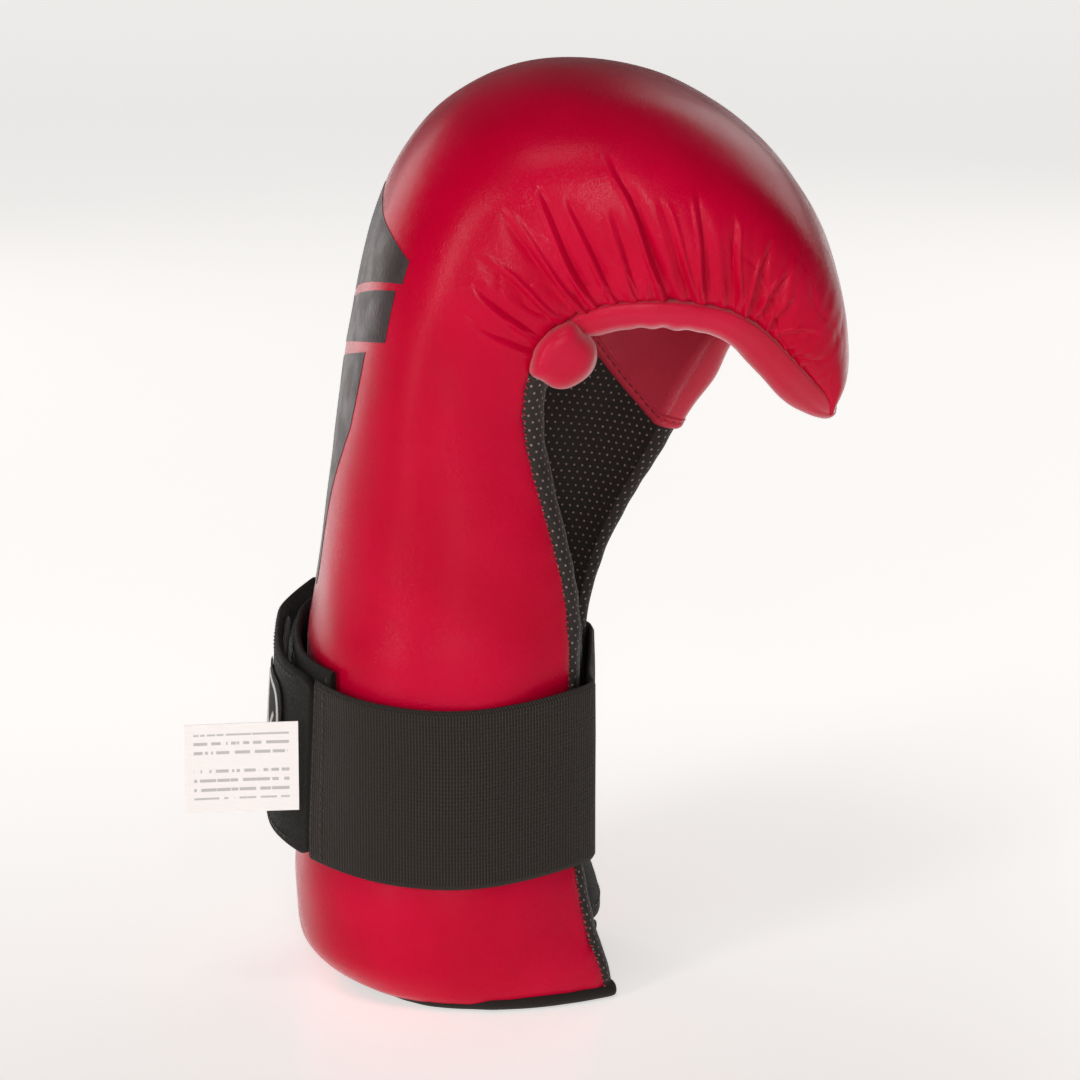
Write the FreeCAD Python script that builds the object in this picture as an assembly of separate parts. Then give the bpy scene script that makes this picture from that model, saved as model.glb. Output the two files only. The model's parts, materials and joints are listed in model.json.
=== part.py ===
"""Open-palm sparring glove with a long forearm cuff: soft layers, rolled edges and a wrist strap.

Design frame in millimetres: +X is the palm and fingertip side, -X the back of the hand, -Y the little-finger
side, +Y the thumb side, +Z runs up from the cuff to the knuckles. The glove stands on its cuff hem at z = 0.
"""

import FreeCAD, Part
import math
import os

Vector = FreeCAD.Vector

# Origin shift from the design frame to the exported frame (centre of the bounding box at x = y = 0)
SHIFT_X = 5.09
SHIFT_Y = -0.90

# Shape stations from the cuff (first) over the knuckles to the fingertip edge (last)
STATION_FIELDS = (
    "back_x", "back_z",        # outer line down the middle of the back of the hand
    "near_x", "near_z",        # outer seam of the little-finger wall
    "far_x", "far_z",          # outer seam of the thumb wall
    "inner_x", "inner_z",      # inner line behind the middle of the back
    "near_half", "far_half",   # widest half width on each side
    "near_seam", "far_seam",   # half width at each seam
    "wall", "rim",             # thickness of the side walls, bulge of the edge past the seam
)
STATIONS = (
    (-58.0, 3.5, 17.0, 3.5, 15.0, 3.5, -47.0, 3.5, 41, 41, 32, 32, 9, 2.0),
    (-66.0, 10.0, 16.5, 11.0, 14.0, 11.0, -45.0, 12.0, 46, 46, 34, 34, 11, 2.2),
    (-69.0, 24.0, 14.0, 24.0, 12.5, 24.0, -44.5, 25.0, 49, 49, 35, 35, 12, 2.4),
    (-67.5, 58.0, 10.5, 54.0, 10.0, 55.0, -43.0, 56.0, 50, 50, 35, 35, 12, 2.4),
    (-64.7, 95.0, 9.5, 90.0, 9.5, 92.0, -40.0, 92.0, 50, 50, 37, 38, 12, 3.0),
    (-60.5, 130.0, 6.0, 122.0, 16.5, 120.0, -36.0, 127.0, 52, 54, 43, 46, 12, 4.0),
    (-55.6, 163.0, -4.0, 158.0, 28.5, 143.0, -31.0, 158.0, 55, 59, 48, 50, 13, 5.0),
    (-50.0, 197.5, 0.0, 180.5, 38.5, 159.0, -24.0, 185.0, 58, 62, 52, 53, 14, 6.0),
    (-38.5, 232.5, 8.0, 191.5, 47.0, 172.0, -11.0, 212.0, 60, 63, 54, 55, 15, 7.5),
    (-13.0, 254.5, 20.0, 197.0, 54.0, 181.0, 5.0, 224.0, 61, 63, 55, 56, 15, 7.5),
    (18.0, 257.5, 35.0, 198.5, 59.0, 186.0, 22.0, 227.0, 61, 62, 54, 55, 15, 7.5),
    (45.0, 248.0, 49.0, 196.0, 62.5, 187.0, 40.0, 221.0, 58, 58, 52, 52, 14, 7.5),
    (67.0, 229.5, 59.5, 189.5, 66.0, 186.5, 55.0, 208.0, 52, 52, 47, 47, 13, 8.0),
    (80.5, 204.0, 67.5, 180.5, 71.0, 179.0, 66.0, 191.0, 44, 44, 41, 41, 11, 8.5),
    (85.3, 178.0, 75.5, 171.0, 76.0, 170.5, 74.0, 175.0, 35, 35, 33, 33, 9, 7.0),
    (84.0, 164.5, 80.0, 163.5, 80.0, 163.5, 81.2, 163.8, 27, 27, 26, 26, 4, 2.5),
)
WIDEST_AT = 0.55        # share of the way from back to seam where the section is widest
SECTION_POWER = 2.4     # 2 is an ellipse, more is boxier
ROUND_SHARE = 0.66      # share of the across parameter spent on the rounded back

# Layer thicknesses and the gaps between them
COVER = 1.2
LINING = 1.0
COMFORT_FOAM = 3.0
LAYER_GAP = 0.2
EDGE_GAP = 0.5

# Stations where the materials change
COVER_END = 15.0
FOAM_START = 0.1
FOAM_END = 14.0
FOAM_ACROSS = 0.99
LINING_END = 7.6
FACING_START = 7.65
NEAR_BINDING_END = 6.88
CAP_START = 6.93
CAP_END = 7.93
ROLL_START = 7.98
ROLL_END = 14.9
FAR_BINDING_END = 6.65
FAR_ROLL_START = 6.7
POCKET_HEM = 6.7         # at the pocket's outer end
POCKET_HEM_RISE = 1.75   # stations the hem climbs per unit across
POCKET_END = 9.5
POCKET_ACROSS = (0.5, 0.98)
PRINT_STATIONS = (4.3, 8.4)
PRINT_ACROSS = 0.2
FINGER_STRAP_STATIONS = (9.9, 11.1)
FINGER_STRAP_ACROSS = 0.86

# Cuff hem
HEM_HEIGHT = 3.4
HEM_INSET = 1.0

# Wrist strap
STRAP_WIDTH = 50.0
ELASTIC_THICKNESS = 1.8
TAB_THICKNESS = 2.2
BAND_THICKNESS = 2.2
PAD_THICKNESS = 1.1
FLAP_THICKNESS = 2.0
HINGE_GAP = 0.4

# Inner face of the strap seen from above, with the height of its middle: x, y, z.
# It runs from the anchor on the thumb wall over the palm side and the near side to the back of the hand.
STRAP_PATH = ((-22.0, 51.8, 69.0), (-6.0, 47.4, 68.0), (11.2, 39.4, 67.0), (15.3, 27.0, 66.3),
              (15.8, 9.0, 66.0), (15.8, -9.0, 66.0), (15.3, -27.0, 66.3), (11.2, -39.4, 67.0),
              (-6.0, -47.2, 64.0), (-26.0, -51.4, 63.0), (-46.0, -49.0, 65.0), (-62.0, -38.5, 68.0),
              (-71.2, -24.8, 70.5), (-74.7, -9.8, 73.0), (-75.4, 4.8, 76.0), (-74.2, 18.8, 78.0))
PALM_HINGE_AT = 2.0     # path places of the three lines where the strap folds, counted in points
SIDE_HINGE_AT = 7.0
TAB_HINGE_AT = 11.0
TAB_END_AT = 15.0
HOOK_PAD_AT = (12.3, 14.8)
PATCH_AT = (12.6, 14.2)
LANDING_PATH = ((-56.0, -40.4, 71.0), (-64.0, -31.0, 72.0), (-68.9, -15.2, 74.0), (-69.8, 0.0, 76.0),
                (-68.9, 15.2, 77.5), (-64.0, 31.0, 78.0), (-54.0, 42.2, 77.0), (-42.0, 48.6, 75.0))
LOOP_PAD_AT = (1.8, 4.2)
FLAP_PATH = ((8.6, 21.5, 60.5), (11.0, 13.0, 60.5), (12.2, 0.0, 60.5), (11.0, -13.0, 60.5),
             (8.6, -21.5, 60.5))
FLAP_HEIGHT = 84.0
LABEL_WIDTH = 31.0
LABEL_HEIGHT = 25.0
LABEL_THICKNESS = 0.4
LABEL_Z = 56.0
LABEL_GAP = 0.9
PAD_MARGIN = 3.0
PATCH_HEIGHT = 36.0
PATCH_THICKNESS = 0.6


def natural_spline(values):
    """Second derivatives of the natural cubic through evenly spaced values."""
    count = len(values)
    upper = [0.0] * count
    moments = [0.0] * count
    for i in range(1, count - 1):
        pivot = 4.0 - upper[i - 1]
        bend = 6.0 * (values[i + 1] - 2.0 * values[i] + values[i - 1])
        upper[i] = 1.0 / pivot
        moments[i] = (bend - moments[i - 1]) / pivot
    for i in range(count - 2, 0, -1):
        moments[i] -= upper[i] * moments[i + 1]
    return moments


def spline_value(values, moments, s):
    """Value of the natural cubic at s, counted in intervals from the first value."""
    i = min(max(int(s), 0), len(values) - 2)
    t = s - i
    u = 1.0 - t
    bend = ((u ** 3 - u) * moments[i] + (t ** 3 - t) * moments[i + 1]) / 6.0
    return u * values[i] + t * values[i + 1] + bend


STATION_COLUMNS = list(zip(*STATIONS))
STATION_MOMENTS = [natural_spline(column) for column in STATION_COLUMNS]


def station(s):
    """All shape values at a place between two stations."""
    values = [spline_value(c, m, s) for c, m in zip(STATION_COLUMNS, STATION_MOMENTS)]
    return dict(zip(STATION_FIELDS, values))


def section(across, half, seam):
    """Half of a cross-section: across runs 0 at the back to 1 at the seam, gives (share to the seam, width)."""
    if across <= ROUND_SHARE:
        angle = across / ROUND_SHARE * math.pi / 2.0
        c = math.cos(angle)
        s = math.sin(angle)
        radius = (abs(c) ** SECTION_POWER + abs(s) ** SECTION_POWER) ** (-1.0 / SECTION_POWER)
        return WIDEST_AT * (1.0 - radius * c), half * radius * s
    rest = (across - ROUND_SHARE) / (1.0 - ROUND_SHARE)
    return WIDEST_AT + (1.0 - WIDEST_AT) * rest, half - (half - seam) * rest * rest


def wall_faces(s, t):
    """Outer and inner point of the wall: t runs -1 at the near seam, 0 at the back, 1 at the far seam."""
    here = station(s)
    side = "near" if t < 0 else "far"
    sign = -1.0 if t < 0 else 1.0
    seam_x = here[side + "_x"]
    seam_z = here[side + "_z"]
    half = here[side + "_half"]
    seam = here[side + "_seam"]
    share, width = section(abs(t), half, seam)
    outer = Vector(here["back_x"] + share * (seam_x - here["back_x"]), sign * width,
                   here["back_z"] + share * (seam_z - here["back_z"]))
    share, width = section(abs(t), half - here["wall"], seam - here["wall"])
    inner = Vector(here["inner_x"] + share * (seam_x - here["inner_x"]), sign * width,
                   here["inner_z"] + share * (seam_z - here["inner_z"]))
    return outer, inner


def from_outside(depth):
    """A layer face at a depth below the outer face."""
    def point(s, t):
        outer, inner = wall_faces(s, t)
        through = inner - outer
        return outer + through * (depth / through.Length)
    return point


def from_inside(depth):
    """A layer face at a depth below the inner face."""
    def point(s, t):
        outer, inner = wall_faces(s, t)
        through = outer - inner
        return inner + through * (depth / through.Length)
    return point


def spread(first, last, steps):
    """Evenly spaced values from first to last."""
    return [first + (last - first) * i / steps for i in range(steps + 1)]


def surface(grid):
    """One smooth face through a grid of points."""
    face = Part.BSplineSurface()
    face.interpolate(grid)
    return face


def close_solid(faces):
    """A solid from faces that meet edge to edge."""
    shell = Part.Shell(faces)
    shell.sewShape()
    solid = Part.Solid(Part.Shell(shell.Faces))
    if solid.Volume < 0:
        solid.reverse()
    return solid


def slab(first_grid, second_grid):
    """A sheet of material between two faces given as grids of the same size."""
    first = surface(first_grid)
    second = surface(second_grid)
    faces = [first.toShape(), second.toShape()]
    u0, u1, v0, v1 = first.bounds()
    p0, p1, q0, q1 = second.bounds()
    faces.append(Part.makeRuledSurface(first.uIso(u0).toShape(), second.uIso(p0).toShape()))
    faces.append(Part.makeRuledSurface(first.uIso(u1).toShape(), second.uIso(p1).toShape()))
    faces.append(Part.makeRuledSurface(first.vIso(v0).toShape(), second.vIso(q0).toShape()))
    faces.append(Part.makeRuledSurface(first.vIso(v1).toShape(), second.vIso(q1).toShape()))
    return close_solid(faces)


def layer(outer_face, inner_face, s_range, t_range, s_steps, t_steps):
    """A wall layer between two layer faces."""
    along = spread(s_range[0], s_range[1], s_steps)
    across = spread(t_range[0], t_range[1], t_steps)
    outer_grid = [[outer_face(s, t) for t in across] for s in along]
    inner_grid = [[inner_face(s, t) for t in across] for s in along]
    return slab(outer_grid, inner_grid)


def edge_roll(side, s_range, s_steps, bulge):
    """A half-round strip of material along one edge of the wall; bulge gives its height at each station."""
    seam_name = "near" if side < 0 else "far"

    def row(s):
        here = station(s)
        seam_x = here[seam_name + "_x"]
        seam_z = here[seam_name + "_z"]
        outward = Vector(seam_x - here["back_x"], 0.0, seam_z - here["back_z"])
        outward.normalize()
        half_wall = here["wall"] / 2.0
        middle = Vector(seam_x, side * (here[seam_name + "_seam"] - half_wall), seam_z)
        middle += outward * EDGE_GAP
        points = []
        for angle in spread(0.0, math.pi, 8):
            sideways = Vector(0.0, side * half_wall * math.cos(angle), 0.0)
            points.append(middle + sideways + outward * (bulge(s) * math.sin(angle)))
        return points

    rows = [row(s) for s in spread(s_range[0], s_range[1], s_steps)]
    skin = surface(rows)
    u0, u1, v0, v1 = skin.bounds()
    first_edge = skin.vIso(v0).toShape()
    last_edge = skin.vIso(v1).toShape()
    faces = [skin.toShape(), Part.makeRuledSurface(first_edge, last_edge)]
    for u, points in ((u0, rows[0]), (u1, rows[-1])):
        chord = Part.LineSegment(points[-1], points[0]).toShape()
        faces.append(Part.Face(Part.Wire([skin.uIso(u).toShape(), chord])))
    return close_solid(faces)


def rim_bulge(s):
    return station(s)["rim"]


def cap_bulge(s):
    """The roll's end swells to a round bulb, then meets the roll."""
    rise = (s - CAP_START) / (CAP_END - CAP_START)
    return 3.0 + 10.5 * math.sin(math.pi * (0.62 * rise + 0.08))


def path_line(path, first, last, steps, distance=0.0):
    """Points and directions on the smooth curve through a path, moved outward by a distance."""
    columns = list(zip(*path))
    moments = [natural_spline(column) for column in columns]

    def at(place):
        return Vector(*[spline_value(c, m, place) for c, m in zip(columns, moments)])

    line = []
    for place in spread(first, last, steps):
        step = at(place + 0.02) - at(place - 0.02)
        direction = Vector(step.x, step.y, 0.0).normalize()
        outward = Vector(-direction.y, direction.x, 0.0)
        line.append((at(place) + outward * distance, direction, outward))
    return line


def band(path, place_range, height, thickness, steps, distance=0.0, trims=(0.0, 0.0)):
    """A flat band on edge along part of a path; its inner face is at the distance, its thickness goes outward."""
    line = path_line(path, place_range[0], place_range[1], steps, distance)
    inner_grid = []
    outer_grid = []
    for i, (point, direction, outward) in enumerate(line):
        if i == 0:
            point = point + direction * trims[0]
        if i == len(line) - 1:
            point = point - direction * trims[1]
        heights = [Vector(0.0, 0.0, h) for h in spread(-height / 2.0, height / 2.0, 3)]
        inner_grid.append([point + h for h in heights])
        outer_grid.append([point + outward * thickness + h for h in heights])
    return slab(outer_grid, inner_grid)


def hinge_corner(place, thickness):
    """Outer face of the strap at a fold, where the hinge axis stands."""
    return path_line(STRAP_PATH, place, place + 0.1, 1, thickness)[0][0]


def cuff_hem():
    """Fabric roll that closes the cuff and stands on the floor: a C-shaped strip under the wall."""
    here = 0.0
    outer = [from_outside(HEM_INSET)(here, t) for t in spread(-1.0, 1.0, 24)]
    inner = [from_inside(0.0)(here, t) for t in spread(-1.0, 1.0, 24)]
    for point in outer + inner:
        point.z = 0.0
    outer_curve = Part.BSplineCurve()
    outer_curve.interpolate(outer)
    inner_curve = Part.BSplineCurve()
    inner_curve.interpolate(inner)
    wire = Part.Wire([outer_curve.toShape(), Part.LineSegment(outer[-1], inner[-1]).toShape(),
                      inner_curve.toShape(), Part.LineSegment(inner[0], outer[0]).toShape()])
    return Part.Face(wire).extrude(Vector(0.0, 0.0, HEM_HEIGHT))


def outer_cover():
    """Leather-look skin over the back, both walls and the hood."""
    return layer(from_outside(0.0), from_outside(COVER), (0.0, COVER_END), (-1.0, 1.0), 45, 24)


def impact_foam():
    """Dense foam under the skin."""
    inner_depth = LINING + COMFORT_FOAM + 2.0 * LAYER_GAP
    return layer(from_outside(COVER + LAYER_GAP), from_inside(inner_depth),
                 (FOAM_START, FOAM_END), (-FOAM_ACROSS, FOAM_ACROSS), 42, 24)


def comfort_foam():
    """Soft foam next to the lining."""
    return layer(from_inside(LINING + LAYER_GAP + COMFORT_FOAM), from_inside(LINING + LAYER_GAP),
                 (FOAM_START, FOAM_END), (-FOAM_ACROSS, FOAM_ACROSS), 42, 24)


def mesh_lining():
    """Perforated lining of the forearm and palm space."""
    return layer(from_inside(LINING), from_inside(0.0), (0.0, LINING_END), (-1.0, 1.0), 20, 24)


def finger_facing():
    """Leather-look facing under the hood."""
    return layer(from_inside(LINING), from_inside(0.0), (FACING_START, COVER_END), (-1.0, 1.0), 24, 24)


def thumb_pocket():
    """Flat panel over the thumb wall: its free hem runs across, the thumb slides behind it."""
    steps = 10
    inside = from_inside(-LAYER_GAP)
    palm = from_inside(-LAYER_GAP - COVER)
    outer_grid = []
    inner_grid = []
    for along in spread(0.0, 1.0, steps):
        outer_row = []
        inner_row = []
        for across in spread(POCKET_ACROSS[0], POCKET_ACROSS[1], steps):
            hem = POCKET_HEM + POCKET_HEM_RISE * (POCKET_ACROSS[1] - across)
            s = hem + (POCKET_END - hem) * along
            outer_row.append(inside(s, across))
            inner_row.append(palm(s, across))
        outer_grid.append(outer_row)
        inner_grid.append(inner_row)
    return slab(outer_grid, inner_grid)


def finger_strap():
    """Elastic band across the fingers inside the hood."""
    outer_grid = []
    inner_grid = []
    for s in spread(FINGER_STRAP_STATIONS[0], FINGER_STRAP_STATIONS[1], 6):
        outer_row = []
        inner_row = []
        here = station(s)
        palm = Vector((here["near_x"] + here["far_x"]) / 2.0, 0.0, (here["near_z"] + here["far_z"]) / 2.0)
        for t in spread(-FINGER_STRAP_ACROSS, FINGER_STRAP_ACROSS, 20):
            lift = 0.62 * (1.0 - (t / FINGER_STRAP_ACROSS) ** 4)
            base = from_inside(-LAYER_GAP)(s, t)
            inner_row.append(base + (palm - base) * lift)
            base = from_inside(-LAYER_GAP - ELASTIC_THICKNESS)(s, t)
            outer_row.append(base + (palm - base) * lift)
        outer_grid.append(outer_row)
        inner_grid.append(inner_row)
    return slab(outer_grid, inner_grid)


def back_print():
    """Thin printed film down the middle of the back."""
    return layer(from_outside(-0.35), from_outside(-0.15), PRINT_STATIONS, (-PRINT_ACROSS, PRINT_ACROSS), 14, 8)


def care_label():
    """Blank sewn-in label that stands out from the strap's back seam."""
    corner = hinge_corner(TAB_HINGE_AT, TAB_THICKNESS)
    return Part.makeBox(LABEL_WIDTH, LABEL_THICKNESS, LABEL_HEIGHT,
                        Vector(corner.x - LABEL_GAP - LABEL_WIDTH, corner.y, LABEL_Z))


def build():
    """Every piece of the glove by name, in the design frame."""
    half_gap = HINGE_GAP / 2.0
    pad_height = STRAP_WIDTH - 2.0 * PAD_MARGIN
    anchor = (0.0, PALM_HINGE_AT)
    palm = (PALM_HINGE_AT, SIDE_HINGE_AT)
    side = (SIDE_HINGE_AT, TAB_HINGE_AT)
    tab = (TAB_HINGE_AT, TAB_END_AT)
    return {
        "outer_cover": outer_cover(),
        "impact_foam": impact_foam(),
        "comfort_foam": comfort_foam(),
        "mesh_lining": mesh_lining(),
        "finger_facing": finger_facing(),
        "near_edge_binding": edge_roll(-1.0, (0.0, NEAR_BINDING_END), 26, rim_bulge),
        "far_edge_binding": edge_roll(1.0, (0.0, FAR_BINDING_END), 26, rim_bulge),
        "roll_end_cap": edge_roll(-1.0, (CAP_START, CAP_END), 10, cap_bulge),
        "finger_roll_near": edge_roll(-1.0, (ROLL_START, ROLL_END), 24, rim_bulge),
        "finger_roll_far": edge_roll(1.0, (FAR_ROLL_START, ROLL_END), 26, rim_bulge),
        "thumb_pocket": thumb_pocket(),
        "finger_strap": finger_strap(),
        "cuff_hem": cuff_hem(),
        "back_print": back_print(),
        "landing_band": band(LANDING_PATH, (0.0, 7.0), STRAP_WIDTH, BAND_THICKNESS, 21),
        "loop_pad": band(LANDING_PATH, LOOP_PAD_AT, pad_height, PAD_THICKNESS, 10, BAND_THICKNESS + 0.05),
        "strap_anchor": band(STRAP_PATH, anchor, STRAP_WIDTH, ELASTIC_THICKNESS, 8, 0.0, (0.0, half_gap)),
        "palm_flap": band(FLAP_PATH, (0.0, 4.0), FLAP_HEIGHT, FLAP_THICKNESS, 12),
        "elastic_palm": band(STRAP_PATH, palm, STRAP_WIDTH, ELASTIC_THICKNESS, 20, 0.0, (half_gap, half_gap)),
        "elastic_side": band(STRAP_PATH, side, STRAP_WIDTH, ELASTIC_THICKNESS, 20, 0.0, (half_gap, half_gap)),
        "strap_tab": band(STRAP_PATH, tab, STRAP_WIDTH, TAB_THICKNESS, 16, 0.0, (half_gap, 0.0)),
        "hook_pad": band(STRAP_PATH, HOOK_PAD_AT, pad_height, PAD_THICKNESS, 10, -PAD_THICKNESS - 0.05),
        "strap_patch": band(STRAP_PATH, PATCH_AT, PATCH_HEIGHT, PATCH_THICKNESS, 8, TAB_THICKNESS + 0.05),
        "care_label": care_label(),
    }


def main():
    os.makedirs("parts", exist_ok=True)
    for name, shape in build().items():
        shape.translate(Vector(SHIFT_X, SHIFT_Y, 0.0))
        shape.exportStep("parts/" + name + ".step")
        box = shape.BoundBox
        print(f"{name:20s} valid {shape.isValid()} solids {len(shape.Solids)} volume {shape.Volume:9.1f}"
              f"  x {box.XMin:7.2f} {box.XMax:7.2f}  y {box.YMin:7.2f} {box.YMax:7.2f}"
              f"  z {box.ZMin:7.2f} {box.ZMax:7.2f}")
    for place, thickness in ((PALM_HINGE_AT, ELASTIC_THICKNESS), (SIDE_HINGE_AT, ELASTIC_THICKNESS),
                             (TAB_HINGE_AT, TAB_THICKNESS)):
        corner = hinge_corner(place, thickness)
        print(f"hinge axis at x {corner.x + SHIFT_X:.2f} y {corner.y + SHIFT_Y:.2f}")


main()
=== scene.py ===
"""Open-palm sparring glove with a forearm cuff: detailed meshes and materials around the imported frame.

Shapes are worked out in millimetres in the glove's design frame: +X palm side, -Y near side, +Z up.
They become metres in the row frame when a mesh is made.
"""
import json
import math

import bpy
import numpy as np
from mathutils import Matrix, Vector


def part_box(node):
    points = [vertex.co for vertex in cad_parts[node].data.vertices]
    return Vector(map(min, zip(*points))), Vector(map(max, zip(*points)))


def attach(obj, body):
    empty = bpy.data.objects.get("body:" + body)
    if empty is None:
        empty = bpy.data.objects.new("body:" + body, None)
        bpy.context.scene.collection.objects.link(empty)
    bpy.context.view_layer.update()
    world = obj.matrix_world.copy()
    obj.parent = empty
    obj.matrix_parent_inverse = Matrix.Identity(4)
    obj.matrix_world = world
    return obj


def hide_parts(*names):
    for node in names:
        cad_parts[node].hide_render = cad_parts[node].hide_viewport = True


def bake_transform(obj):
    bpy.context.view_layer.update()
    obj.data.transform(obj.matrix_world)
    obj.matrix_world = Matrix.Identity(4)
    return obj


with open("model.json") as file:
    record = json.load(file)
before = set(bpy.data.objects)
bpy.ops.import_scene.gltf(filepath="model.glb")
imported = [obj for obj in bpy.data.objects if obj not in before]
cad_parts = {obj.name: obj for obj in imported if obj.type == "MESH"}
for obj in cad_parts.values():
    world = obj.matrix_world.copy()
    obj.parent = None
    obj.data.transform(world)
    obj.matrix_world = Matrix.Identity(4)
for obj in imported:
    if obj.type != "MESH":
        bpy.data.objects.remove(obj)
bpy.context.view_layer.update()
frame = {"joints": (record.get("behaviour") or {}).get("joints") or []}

# ---- Driving dimensions, in millimetres ----
# One row for each station, from the cuff's lower edge (0) to the fingertips (15)
STATION_FIELDS = ("back_x", "back_z", "near_x", "near_z", "far_x", "far_z", "inner_x", "inner_z",
                  "near_half", "far_half", "near_seam", "far_seam", "wall", "rim")
STATIONS = np.array((
    (-58.0, 3.5, 18.0, 3.5, 13.4, 3.5, -47.0, 3.5, 41, 41, 32, 32, 9, 2.0),
    (-66.0, 10.0, 16.2, 11.0, 12.6, 11.0, -45.0, 12.0, 46, 46, 34, 34, 11, 2.2),
    (-69.0, 24.0, 12.2, 24.0, 11.4, 24.0, -44.5, 25.0, 49, 49, 35, 35, 12, 2.4),
    (-67.5, 58.0, 8.0, 54.0, 9.0, 55.0, -43.0, 56.0, 50, 50, 35, 35, 12, 2.4),
    (-64.7, 95.0, 7.6, 90.0, 10.2, 92.0, -40.0, 92.0, 50, 50, 37, 38, 12, 3.0),
    (-60.5, 130.0, 5.6, 122.0, 18.0, 120.0, -36.0, 127.0, 52, 54, 43, 46, 12, 4.0),
    (-55.6, 163.0, -3.2, 158.0, 30.6, 143.0, -31.0, 158.0, 55, 59, 48, 50, 13, 5.0),
    (-50.0, 197.5, -2.2, 181.4, 38.5, 159.0, -24.0, 185.0, 58, 62, 52, 53, 14, 6.0),
    (-38.5, 232.5, 6.6, 193.2, 47.0, 172.0, -11.0, 212.0, 60, 63, 54, 55, 15, 7.5),
    (-13.0, 254.5, 19.4, 198.2, 54.0, 181.0, 5.0, 224.0, 61, 63, 55, 56, 15, 7.5),
    (18.0, 257.5, 35.0, 198.5, 59.0, 186.0, 22.0, 227.0, 61, 62, 54, 55, 15, 7.5),
    (45.0, 248.0, 49.0, 196.0, 62.5, 187.0, 40.0, 221.0, 58, 58, 52, 52, 14, 7.5),
    (67.0, 229.5, 59.5, 189.5, 66.0, 186.5, 55.0, 208.0, 52, 52, 47, 47, 13, 8.8),
    (80.5, 204.0, 67.5, 180.5, 71.0, 179.0, 66.0, 191.0, 44, 44, 41, 41, 11, 9.0),
    (85.3, 178.0, 75.5, 171.0, 76.0, 170.5, 74.0, 175.0, 35, 35, 33, 33, 9, 8.0),
    (84.0, 164.5, 80.0, 163.5, 80.0, 163.5, 81.2, 163.8, 27, 27, 26, 26, 4, 2.5),
), float)
WIDEST_AT = 0.55
SECTION_POWER = 2.4
ROUND_SHARE = 0.66

# The strap runs on a path of points; places on it are counted in points
STRAP_WIDTH = 50.0
ELASTIC_THICKNESS = 1.8
TAB_THICKNESS = 2.2
BAND_THICKNESS = 2.2
PAD_THICKNESS = 1.1
PAD_HEIGHT = STRAP_WIDTH - 6.0
STRAP_PATH = ((-22.0, 51.8, 69.0), (-6.0, 47.4, 68.0), (11.2, 39.4, 67.0), (13.9, 27.0, 66.3),
              (13.4, 9.0, 66.0), (13.0, -9.0, 66.0), (13.0, -27.0, 66.3), (11.2, -39.4, 67.0),
              (-6.0, -47.2, 64.0), (-26.0, -51.4, 63.0), (-46.0, -49.0, 65.0), (-62.0, -38.5, 68.0),
              (-71.2, -24.8, 70.5), (-74.7, -9.8, 73.0), (-75.4, 4.8, 76.0), (-74.2, 18.8, 78.0),
              (-65.6, 37.0, 82.0))
PALM_HINGE_AT = 2.0
PALM_SPLICE_AT = 4.5
SIDE_HINGE_AT = 7.0
TAB_HINGE_AT = 11.0
TAB_END_AT = 16.0
LANDING_PATH = ((-56.0, -40.4, 71.0), (-64.0, -31.0, 72.0), (-68.9, -15.2, 74.0), (-69.8, 0.0, 76.0),
                (-68.9, 15.2, 77.5), (-64.0, 31.0, 78.0), (-54.0, 42.2, 77.0), (-42.0, 48.6, 75.0))
FLAP_PATH = ((6.0, 21.5, 60.5), (8.2, 13.0, 60.5), (9.4, 0.0, 60.5), (8.6, -13.0, 60.5),
             (6.6, -21.5, 60.5))
FLAP_HEIGHT = 84.0

# Camera: straight at the near side, from slightly above
VIEW_ELEVATION = math.radians(12.0)
VIEW_DISTANCE = 1.1
VIEW_HEIGHT = 0.124
LENS = 131.0


# ---- Shape functions ----
def natural_spline(values):
    """Second derivatives of the natural cubic through evenly spaced rows of values."""
    count = len(values)
    system = np.eye(count)
    bend = np.zeros_like(values)
    for i in range(1, count - 1):
        system[i, i - 1:i + 2] = (1.0, 4.0, 1.0)
        bend[i] = 6.0 * (values[i + 1] - 2.0 * values[i] + values[i - 1])
    return np.linalg.solve(system, bend)


def spline(values, moments, s):
    """Rows of the natural cubic at an array of places s, counted in intervals."""
    s = np.asarray(s, float)
    i = np.clip(s.astype(int), 0, len(values) - 2)
    t = (s - i)[..., None]
    u = 1.0 - t
    bend = ((u ** 3 - u) * moments[i] + (t ** 3 - t) * moments[i + 1]) / 6.0
    return u * values[i] + t * values[i + 1] + bend


STATION_MOMENTS = natural_spline(STATIONS)


def station(s):
    """All shape values at an array of places between two stations."""
    values = spline(STATIONS, STATION_MOMENTS, s)
    return {name: values[..., k] for k, name in enumerate(STATION_FIELDS)}


def section(across, half, seam):
    """Half of a cross-section, 0 at the back to 1 at the seam: gives the share to the seam and the width."""
    angle = np.clip(across / ROUND_SHARE, 0.0, 1.0) * math.pi / 2.0
    c = np.abs(np.cos(angle))
    s = np.abs(np.sin(angle))
    radius = (c ** SECTION_POWER + s ** SECTION_POWER) ** (-1.0 / SECTION_POWER)
    rest = (across - ROUND_SHARE) / (1.0 - ROUND_SHARE)
    flat = across > ROUND_SHARE
    share = np.where(flat, WIDEST_AT + (1.0 - WIDEST_AT) * rest, WIDEST_AT * (1.0 - radius * c))
    width = np.where(flat, half - (half - seam) * rest * rest, half * radius * s)
    return share, width


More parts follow.
